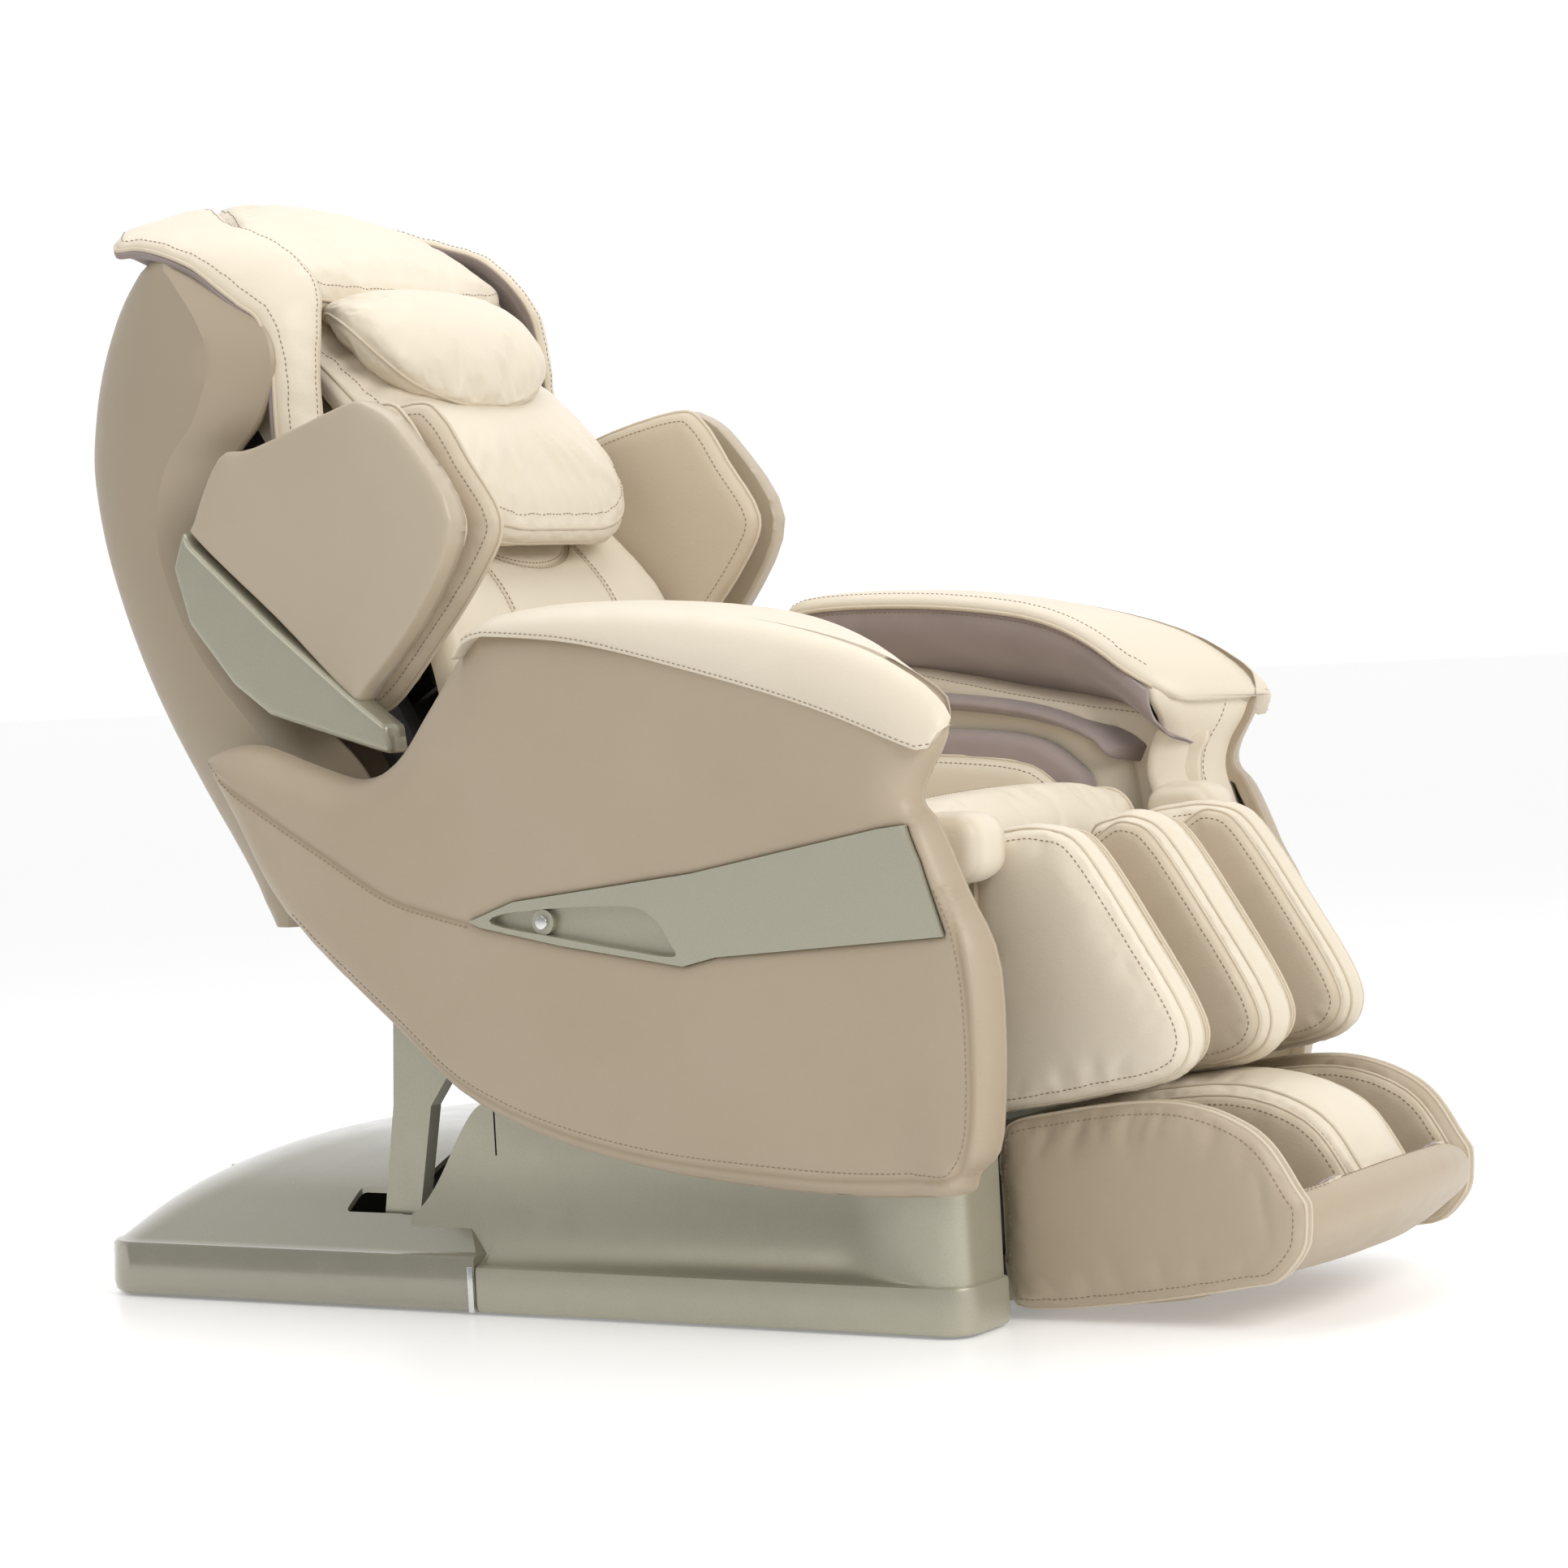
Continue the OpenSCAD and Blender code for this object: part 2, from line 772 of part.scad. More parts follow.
module calf_mid() {
  y = channel_in - pad_t;
  color(ivory)
    slab(ridge_line, -y, y);
}

module calf_side() {
  color(ivory)
    slab(ridge_line, channel_out + pad_t, leg_w / 2);
}

// Air pads on the walls of both channels
module calf_pads() {
  ridge_pad = loop([
    [404, 452], [430, 476], [452, 480], [482, 462], [540, 374], [580, 304], [585, 270],
    [562, 246], [514, 240], [490, 284], [418, 430]], 4);
  color(ivory) {
    slab_pair(ridge_pad, channel_out, channel_out + pad_t - 1);
    slab_pair(ridge_pad, channel_in - pad_t + 1, channel_in);
  }
}

// Sole board of the footrest, with the roller pockets and the guide rods
module foot_base() {
  color(beige) {
    difference() {
      slab(foot_base_line, -leg_w / 2, leg_w / 2);
      for (s = [-1, 1])
        box([490, s * 124 - 36, 44], [550, s * 124 + 36, 100]);
      rod_y([520, 66], 6 + run, -200, 200);
    }
    for (s = [-1, 1])
      translate([362, s * 180, 60])
        cylinder(r = 8, h = 290);
    for (s = [-1, 1])
      box([352, s * 180 - 12, 40], [386, s * 180 + 12, 60]);
  }
}

module foot_mid() {
  y = 124 - well_w / 2 - 12;
  color(ivory)
    slab(foot_side_line, -y, y);
}

module foot_side() {
  color(ivory)
    slab(foot_side_line, 124 + well_w / 2 + 12, leg_w / 2);
}

// Air pads on both walls of the foot wells
module foot_pads() {
  line = loop([
    [400, 176], [448, 196], [566, 208], [646, 184], [686, 134], [690, 114], [664, 98],
    [600, 88], [424, 88], [402, 92]], 4);
  for (s = [-1, 1])
    color(ivory)
      slab_pair(line, 124 + s * (well_w / 2 + 5.5) - 5, 124 + s * (well_w / 2 + 5.5) + 5);
}

// Reflexology rollers on one driven shaft under the soles
module foot_rollers() {
  color(taupe) {
    rod_y([520, 66], 6, -198, 198);
    for (s = [-1, 1], k = [-1, 0, 1])
      rod_y([520, 66], k == 0 ? 20 : 17, s * 124 + k * 20 - 8, s * 124 + k * 20 + 8);
  }
}

base_frame();
base_rear_cover();
base_front_cover();
column_covers();
seam_strips();
rubber_feet();
control_box();
power_panel();
power_rocker();
wheel();  // wheel_left
right_side() wheel();  // wheel_right
seat_frame();
seat_cushion();
seat_flap();
side_panel();  // side_panel_left
right_side() side_panel();  // side_panel_right
trim();  // trim_left
right_side() trim();  // trim_right
boss_screws();
arm_top();  // arm_top_left
right_side() arm_top();  // arm_top_right
arm_channel();  // arm_channel_left
right_side() arm_channel();  // arm_channel_right
side_pad();  // side_pad_left
right_side() side_pad();  // side_pad_right
arm_frame();  // arm_frame_left
right_side() arm_frame();  // arm_frame_right
legrest_motor();
tilt_cylinder();
tilt_rod();
back_frame();
back_shell();
back_cushion();
top_cover();
shoulder_flap();  // shoulder_flap_left
right_side() shoulder_flap();  // shoulder_flap_right
wing_cover();  // wing_cover_left
right_side() wing_cover();  // wing_cover_right
wing_trim();  // wing_trim_left
right_side() wing_trim();  // wing_trim_right
wing_pads();  // wing_pads_left
right_side() wing_pads();  // wing_pads_right
neck_pad();
pillow();
recline_cylinder();
recline_rod();
carriage();
kneading_heads();
legrest_frame();
calf_pan();
calf_mid();
calf_side();  // calf_side_left
right_side() calf_side();  // calf_side_right
calf_pads();
foot_base();
foot_mid();
foot_side();  // foot_side_left
right_side() foot_side();  // foot_side_right
foot_pads();
foot_rollers();
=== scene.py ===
# Looks of the massage chair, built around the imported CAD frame. All lengths are in metres.
import math

import bpy
import bmesh
import numpy as np
from mathutils import Matrix, Vector, noise
from mathutils.bvhtree import BVHTree
from mathutils.geometry import delaunay_2d_cdt


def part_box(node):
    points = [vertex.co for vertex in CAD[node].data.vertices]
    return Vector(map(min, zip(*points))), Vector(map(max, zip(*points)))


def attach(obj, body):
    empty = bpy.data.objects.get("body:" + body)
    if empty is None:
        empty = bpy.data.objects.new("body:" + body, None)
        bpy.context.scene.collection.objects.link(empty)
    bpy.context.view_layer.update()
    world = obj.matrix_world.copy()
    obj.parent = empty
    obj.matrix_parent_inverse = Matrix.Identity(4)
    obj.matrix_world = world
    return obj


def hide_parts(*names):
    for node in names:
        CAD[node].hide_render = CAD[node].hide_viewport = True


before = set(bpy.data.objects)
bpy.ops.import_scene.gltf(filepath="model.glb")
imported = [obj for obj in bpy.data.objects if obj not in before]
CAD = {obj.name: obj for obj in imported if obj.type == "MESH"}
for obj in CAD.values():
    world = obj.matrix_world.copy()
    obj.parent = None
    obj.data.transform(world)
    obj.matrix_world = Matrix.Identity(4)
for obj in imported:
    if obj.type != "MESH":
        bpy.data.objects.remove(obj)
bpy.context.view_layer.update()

# ---- Camera, light and floor ----

scene = bpy.context.scene
scene.view_settings.view_transform = "Standard"


def aim_camera(place, azimuth, pitch, roll, lens):
    """Camera at place, looking along azimuth and down by pitch, turned by roll, all in degrees."""
    a, e, r = (math.radians(v) for v in (azimuth, pitch, roll))
    forward = Vector((-math.sin(a) * math.cos(e), math.cos(a) * math.cos(e), -math.sin(e)))
    side = Vector((math.cos(a), math.sin(a), 0))
    up = side.cross(forward)
    right = side * math.cos(r) + up * math.sin(r)
    top = up * math.cos(r) - side * math.sin(r)
    data = bpy.data.cameras.new("camera")
    data.sensor_width = 36
    data.lens = lens
    data.clip_end = 60
    camera = bpy.data.objects.new("camera", data)
    scene.collection.objects.link(camera)
    camera.matrix_world = Matrix.Translation(place) @ Matrix(
        (right, top, -forward)).transposed().to_4x4()
    scene.camera = camera


def soft_light(name, place, target, size, power, colour=(1, 1, 1)):
    data = bpy.data.lights.new(name, "AREA")
    data.shape = "RECTANGLE"
    data.size, data.size_y = size
    data.energy = power
    data.color = colour
    light = bpy.data.objects.new(name, data)
    light.location = place
    light.rotation_euler = (Vector(target) - Vector(place)).to_track_quat("-Z", "Y").to_euler()
    scene.collection.objects.link(light)


aim_camera(Vector((2.359, -3.737, 0.69)), 32.07, 2.11, -3.0, 94.2)
soft_light("key", (3.2, -0.9, 2.5), (0.1, 0, 0.6), (1.8, 1.8), 80, (1, 0.985, 0.96))
soft_light("top", (-0.3, 0.3, 3.2), (0, 0, 0.5), (2.4, 2.4), 36)
soft_light("fill", (-0.9, -3.0, 2.9), (0, 0, 0.6), (2.2, 1.6), 20, (1, 0.97, 0.93))

world = bpy.data.worlds.new("studio")
world.use_nodes = True
tree = world.node_tree
toward = tree.nodes.new("ShaderNodeVectorMath")
toward.operation = "DOT_PRODUCT"
toward.inputs[1].default_value = (-0.53, 0.85, 0)
tree.links.new(tree.nodes.new("ShaderNodeTexCoord").outputs["Generated"], toward.inputs[0])
level = tree.nodes.new("ShaderNodeMapRange")
for key, value in (("From Min", -0.2), ("From Max", 0.75), ("To Min", 0.40), ("To Max", 1.03)):
    level.inputs[key].default_value = value
tree.links.new(toward.outputs["Value"], level.inputs["Value"])
tree.nodes["Background"].inputs["Color"].default_value = (1, 1, 1, 1)
tree.links.new(level.outputs["Result"], tree.nodes["Background"].inputs["Strength"])
scene.world = world

# ---- Materials ----


class Paint:
    """A node material with the parts that the finishes share."""

    def __init__(self, name, colour, rough, metal=0.0):
        self.mat = bpy.data.materials.new(name)
        self.mat.use_nodes = True
        self.mat.diffuse_color = (*colour, 1)
        self.tree = self.mat.node_tree
        self.skin = self.tree.nodes["Principled BSDF"]
        self.skin.inputs["Base Color"].default_value = (*colour, 1)
        self.skin.inputs["Roughness"].default_value = rough
        self.skin.inputs["Metallic"].default_value = metal
        self.colour = colour
        self.place = self.node("ShaderNodeTexCoord").outputs["Object"]

    def node(self, kind, **values):
        n = self.tree.nodes.new(kind)
        for key, value in values.items():
            if key in n.inputs:
                n.inputs[key].default_value = value
            else:
                setattr(n, key, value)
        return n

    def link(self, a, b):
        self.tree.links.new(a, b)

    def noise(self, scale, detail=3.0):
        n = self.node("ShaderNodeTexNoise", Scale=scale, Detail=detail)
        self.link(self.place, n.inputs["Vector"])
        return n.outputs["Fac"]

    def ramp(self, fac, low, high, a, b):
        n = self.node("ShaderNodeMapRange", **{"From Min": low, "From Max": high, "To Min": a, "To Max": b})
        self.link(fac, n.inputs["Value"])
        return n.outputs["Result"]

    def tint(self, fac, amount, start=None):
        """Multiplies the colour by 1 to 1 - amount as fac goes from 0 to 1."""
        mix = self.node("ShaderNodeMix", data_type="RGBA", blend_type="MULTIPLY")
        shade = self.node("ShaderNodeMix", data_type="RGBA")
        shade.inputs[6].default_value = (1, 1, 1, 1)
        shade.inputs[7].default_value = tuple(amount) + (1,)
        self.link(fac, shade.inputs[0])
        mix.inputs[0].default_value = 1
        if start is None:
            mix.inputs[6].default_value = (*self.colour, 1)
        else:
            self.link(start, mix.inputs[6])
        self.link(shade.outputs[2], mix.inputs[7])
        self.link(mix.outputs[2], self.skin.inputs["Base Color"])
        return mix.outputs[2]

    def bump(self, height, strength, distance, after=None):
        n = self.node("ShaderNodeBump", Strength=strength, Distance=distance)
        self.link(height, n.inputs["Height"])
        if after:
            self.link(after, n.inputs["Normal"])
        self.link(n.outputs["Normal"], self.skin.inputs["Normal"])
        return n.outputs["Normal"]


def leather(name, colour, rough=0.43):
    p = Paint(name, colour, rough)
    c = p.tint(p.ramp(p.noise(5), 0.3, 0.7, 0, 1), (0.95, 0.94, 0.92))
    # Painted shade: the colour is darkened where the seam mask is high, in the creases along the seams.
    seam = p.node("ShaderNodeAttribute", attribute_name="seam").outputs["Fac"]
    p.tint(seam, (0.80, 0.76, 0.70), c)
    p.link(p.ramp(p.noise(40), 0.3, 0.7, rough - 0.05, rough + 0.07), p.skin.inputs["Roughness"])
    grain = p.node("ShaderNodeTexVoronoi", Scale=520.0, feature="SMOOTH_F1")
    p.link(p.place, grain.inputs["Vector"])
    n = p.bump(grain.outputs["Distance"], 0.22, 0.0006)
    p.bump(p.noise(26, 4), 0.25, 0.0022, n)
    p.skin.inputs["Sheen Weight"].default_value = 0.12
    p.skin.inputs["Specular IOR Level"].default_value = 0.42
    return p.mat


def woven(name, colour):
    p = Paint(name, colour, 0.85)
    c = p.tint(p.ramp(p.noise(14), 0.3, 0.7, 0, 1), (0.86, 0.86, 0.86))
    # Painted shade: the colour is darkened where the seam mask is high, in the creases along the seams.
    seam = p.node("ShaderNodeAttribute", attribute_name="seam").outputs["Fac"]
    p.tint(seam, (0.72, 0.70, 0.68), c)
    last = None
    for direction in ("X", "Z"):
        w = p.node("ShaderNodeTexWave", Scale=330.0, Distortion=1.5, bands_direction=direction)
        p.link(p.place, w.inputs["Vector"])
        last = p.bump(w.outputs["Fac"], 0.35, 0.0004, last)
    p.skin.inputs["Sheen Weight"].default_value = 0.4
    return p.mat


def moulded(name, colour, rough):
    p = Paint(name, colour, rough)
    p.tint(p.ramp(p.noise(4), 0.3, 0.7, 0, 1), (0.96, 0.955, 0.95))
    p.link(p.ramp(p.noise(60), 0.3, 0.7, rough - 0.04, rough + 0.05), p.skin.inputs["Roughness"])
    p.bump(p.noise(900.0, 2), 0.12, 0.0003)
    return p.mat


def metallic(name, colour, rough, metal=0.75, coat=0.0):
    p = Paint(name, colour, rough, metal)
    flakes = p.node("ShaderNodeTexVoronoi", Scale=900.0)
    p.link(p.place, flakes.inputs["Vector"])
    p.tint(p.ramp(flakes.outputs["Distance"], 0.2, 0.8, 0, 1), (0.90, 0.90, 0.89))
    p.link(p.ramp(p.noise(30), 0.3, 0.7, rough - 0.04, rough + 0.06), p.skin.inputs["Roughness"])
    p.bump(p.noise(700, 2), 0.08, 0.0002)
    p.skin.inputs["Coat Weight"].default_value = coat
    p.skin.inputs["Coat Roughness"].default_value = 0.06
    return p.mat


# One leather in three tones: the pale and beige ones are darkened copies of the ivory leather, painted shade
# for the pads, piping and panels that face away from the key light.
IVORY = leather("ivory_leather", (0.74, 0.665, 0.54))
SHADE_PALE_LEATHER = leather("pale_leather_shaded", (0.64, 0.555, 0.43), 0.45)
SHADE_BEIGE_LEATHER = leather("beige_leather", (0.455, 0.375, 0.275), 0.46)
THREAD = moulded("thread", (0.33, 0.25, 0.18), 0.8)
TAUPE = woven("taupe_fabric", (0.375, 0.305, 0.290))
SHELL = moulded("beige_shell", (0.400, 0.330, 0.240), 0.40)
# Painted light: a lighter copy of the beige shell colour, for the wing covers that face the key light.
LIT_WING_SHELL = moulded("wing_shell_lit", (0.50, 0.425, 0.32), 0.38)
CHAMPAGNE = metallic("champagne", (0.47, 0.455, 0.36), 0.36, 0.5, 0.15)
GLOSS = metallic("champagne_gloss", (0.37, 0.355, 0.28), 0.22, 0.55, 0.9)
SILVER = metallic("silver_trim", (0.78, 0.78, 0.77), 0.2, 1.0)
STEEL = metallic("steel", (0.10, 0.10, 0.11), 0.5, 0.3)
BLACK = moulded("black_plastic", (0.025, 0.025, 0.027), 0.5)
ROLLER = moulded("roller", (0.22, 0.19, 0.17), 0.5)
RUBBER = moulded("rubber", (0.02, 0.02, 0.02), 0.75)
BOARD = moulded("board", (0.50, 0.38, 0.25), 0.7)
ground = Paint("floor", (0.90, 0.90, 0.90), 0.32)
ground.tint(ground.ramp(ground.noise(1.5), 0.3, 0.7, 0, 1), (0.985, 0.985, 0.985))
ground.skin.inputs["Emission Color"].default_value = (1, 1, 1, 1)
ground.skin.inputs["Emission Strength"].default_value = 0.24
FLOOR = ground.mat

# ---- Curves in a plane ----


def spline(points, n=8, closed=False):
    """Smooth curve through points, with n steps to a span."""
    p = np.asarray(points, float)
    m = len(p)
    spans = m if closed else m - 1
    out = []
    for i in range(spans):
        a, b, c, d = ((p[(i + k) % m] if closed else p[min(max(i + k, 0), m - 1)]) for k in (-1, 0, 1, 2))
        for t in np.arange(n) / n:
            out.append(0.5 * (2 * b + (c - a) * t + (2 * a - 5 * b + 4 * c - d) * t * t
                              + (3 * b - a - 3 * c + d) * t ** 3))
    if not closed:
        out.append(p[-1])
    return np.array(out)


def even(points, step, closed=False):
    """The same line with points about step apart."""
    p = np.asarray(points, float)
    q = np.vstack([p, p[:1]]) if closed else p
    length = np.concatenate([[0], np.cumsum(np.linalg.norm(np.diff(q, axis=0), axis=1))])
    n = max(4, int(round(length[-1] / step)))
    at = np.linspace(0, length[-1], n + 1)
    out = np.stack([np.interp(at, length, q[:, k]) for k in range(q.shape[1])], 1)
    return out[:-1] if closed else out


def outward(ring):
    """Unit normals of a closed anticlockwise ring."""
    d = np.roll(ring, -1, 0) - np.roll(ring, 1, 0)
    n = np.stack([d[:, 1], -d[:, 0]], 1)
    return n / np.maximum(np.linalg.norm(n, axis=1, keepdims=True), 1e-9)


def anticlockwise(ring):
    """The same ring, turned round if it runs clockwise."""
    x, z = ring[:, 0], ring[:, 1]
    area = (x * np.roll(z, -1) - np.roll(x, -1) * z).sum()
    return ring if area > 0 else ring[::-1].copy()


def left_of(line):
    """Unit normals of an open line, to the left of its direction."""
    t = np.gradient(line, axis=0)
    return np.stack([-t[:, 1], t[:, 0]], 1) / np.linalg.norm(t, axis=1, keepdims=True)


def arc(start, end, n):
    """n angles from start to end, which are in degrees."""
    return np.radians(np.linspace(start, end, n))


def by_x(points):
    """Points in order of X."""
    return points[np.argsort(points[:, 0])]


def height_at(x, line):
    """Height at x of a line whose points are in order of X."""
    return np.interp(x, line[:, 0], line[:, 1])


def inside(points, ring):
    """Which points lie within a closed ring."""
    a, b = ring, np.roll(ring, -1, 0)
    x, z = points[:, 0:1], points[:, 1:2]
    with np.errstate(divide="ignore", invalid="ignore"):
        cut = (b[:, 0] - a[:, 0]) * (z - a[:, 1]) / (b[:, 1] - a[:, 1]) + a[:, 0]
    return (((a[:, 1] > z) != (b[:, 1] > z)) & (x < cut)).sum(1) % 2 == 1


def nearest(points, line, closed=True):
    """Distance from each point to a line, and how far along the line the nearest place is."""
    a = line if closed else line[:-1]
    b = np.roll(line, -1, 0) if closed else line[1:]
    ab = b - a
    size = np.maximum((ab ** 2).sum(1), 1e-12)
    run = np.concatenate([[0], np.cumsum(np.sqrt(size))])
    dist, along = [], []
    for part in np.array_split(points, max(1, len(points) // 1500)):
        ap = part[:, None] - a[None]
        t = np.clip((ap * ab).sum(2) / size, 0, 1)
        d = np.linalg.norm(ap - t[..., None] * ab, axis=2)
        j = d.argmin(1)
        rows = np.arange(len(part))
        dist.append(d[rows, j])
        along.append(run[j] + t[rows, j] * np.sqrt(size[j]))
    return np.concatenate(dist), np.concatenate(along)


def swelling(ring):
    """Height from 0 at the ring to 1 in the middle, as a blown-up skin over it has."""
    lo, hi = ring.min(0) - 0.002, ring.max(0) + 0.002
    cell = (hi - lo).max() / 44
    nx, nz = (np.ceil((hi - lo) / cell).astype(int) + 3)
    gx, gz = np.meshgrid(lo[0] + (np.arange(nx) - 1) * cell, lo[1] + (np.arange(nz) - 1) * cell,
                         indexing="ij")
    mask = inside(np.stack([gx.ravel(), gz.ravel()], 1), ring).reshape(gx.shape)
    u = np.zeros(gx.shape)
    for _ in range(500):
        u[1:-1, 1:-1] = 0.25 * (u[2:, 1:-1] + u[:-2, 1:-1] + u[1:-1, 2:] + u[1:-1, :-2]) + cell ** 2
        u[~mask] = 0
    u = np.sqrt(u / u.max())

    def at(p):
        i = np.clip((p[:, 0] - gx[0, 0]) / cell, 0, nx - 1.001)
        j = np.clip((p[:, 1] - gz[0, 0]) / cell, 0, nz - 1.001)
        i0, j0 = i.astype(int), j.astype(int)
        fi, fj = i - i0, j - j0
        return (u[i0, j0] * (1 - fi) * (1 - fj) + u[i0 + 1, j0] * fi * (1 - fj)
                + u[i0, j0 + 1] * (1 - fi) * fj + u[i0 + 1, j0 + 1] * fi * fj)
    return at


def round_off(d, radius):
    """Rise of a rounded edge, from 0 at the edge to 1 at radius from it."""
    t = np.clip(d / radius, 0, 1)
    return np.sqrt(np.maximum(1 - (1 - t) ** 2, 0))


def smooth_step(v, a, b):
    t = np.clip((v - a) / (b - a), 0, 1)
    return t * t * (3 - 2 * t)


def wave(s, seed, length):
    """Uneven ripple along s, about -1 to 1."""
    k = 2 * math.pi / length
    return (np.sin(k * s + seed) + 0.7 * np.sin(0.61 * k * s + 2.3 * seed + 1)
            + 0.5 * np.sin(1.83 * k * s + 0.7 * seed + 2)) / 2.2


# ---- Outlines from the CAD frame ----


def rims(node, y):
    """Closed outlines, as X and Z, of a CAD node's flat face at Y = y, the longest first."""
    data = CAD[node].data
    keys, index = {}, []
    for v in data.vertices:
        index.append(keys.setdefault(tuple(round(c, 5) for c in v.co), len(keys)))
    co = np.array(list(keys))
    edges = set()
    for face in data.polygons:
        vs = [index[i] for i in face.vertices]
        if all(abs(co[v, 1] - y) < 2e-5 for v in vs):
            edges.update(zip(vs, vs[1:] + vs[:1]))
    follow = {a: b for a, b in edges if (b, a) not in edges}
    rings = []
    while follow:
        start, at = next(iter(follow.items()))
        del follow[start]
        ring = [start]
        while at != start and at in follow:
            ring.append(at)
            at = follow.pop(at)
        rings.append(anticlockwise(co[ring][:, [0, 2]]))
    return sorted(rings, key=len, reverse=True)


def face_y(node, outer=True):
    """Y of a CAD node's side that is further from the chair's centre plane, or else of the nearer one."""
    lo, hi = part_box(node)
    pick = max if outer == (abs(hi.y) > abs(lo.y)) else min
    return pick(lo.y, hi.y) if abs(abs(lo.y) - abs(hi.y)) > 1e-4 else (hi.y if outer else lo.y)


def edges_of(node, y):
    """The two long sides of a bent sheet's outline, upper first, both from low X to high X."""
    ring = rims(node, y)[0]
    d1 = ring - np.roll(ring, 1, 0)
    d2 = np.roll(ring, -1, 0) - ring
    turn = np.abs(np.arctan2(d1[:, 0] * d2[:, 1] - d1[:, 1] * d2[:, 0], (d1 * d2).sum(1)))
    corners = sorted(np.argsort(turn)[-4:])
    runs = []
    for a, b in zip(corners, corners[1:] + [corners[0] + len(ring)]):
        runs.append(ring[[k % len(ring) for k in range(a, b + 1)]])
    runs.sort(key=lambda r: np.linalg.norm(np.diff(r, axis=0), axis=1).sum(), reverse=True)
    pair = [r if r[0, 0] < r[-1, 0] else r[::-1] for r in runs[:2]]
    return sorted(pair, key=lambda r: -(r[:, 0] + r[:, 1]).mean())


# ---- Meshes ----


def build(name, verts, faces, mat, weld=1e-6, seam=None):
    """Mesh object from numbers, with its normals outward."""
    data = bpy.data.meshes.new(name)
    data.from_pydata([tuple(v) for v in np.asarray(verts, float)], [], [tuple(f) for f in faces])
    # The seam attribute carries the mask of painted shade along the seams.
    if seam is not None:
        data.attributes.new("seam", "FLOAT", "POINT").data.foreach_set("value", np.asarray(seam, np.float32))
    bm = bmesh.new()
    bm.from_mesh(data)
    if weld:
        bmesh.ops.remove_doubles(bm, verts=bm.verts, dist=weld)
    bmesh.ops.recalc_face_normals(bm, faces=bm.faces)
    bm.to_mesh(data)
    bm.free()
    data.polygons.foreach_set("use_smooth", [True] * len(data.polygons))
    data.materials.append(mat)
    obj = bpy.data.objects.new(name, data)
    scene.collection.objects.link(obj)
    return obj


def put(obj, body, slot, *nodes, fill=None):
    """Attaches a finished piece to its body and hides the CAD nodes that it stands for. The slot is not used.
    """
    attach(obj, body)
    if nodes:
        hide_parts(*nodes)


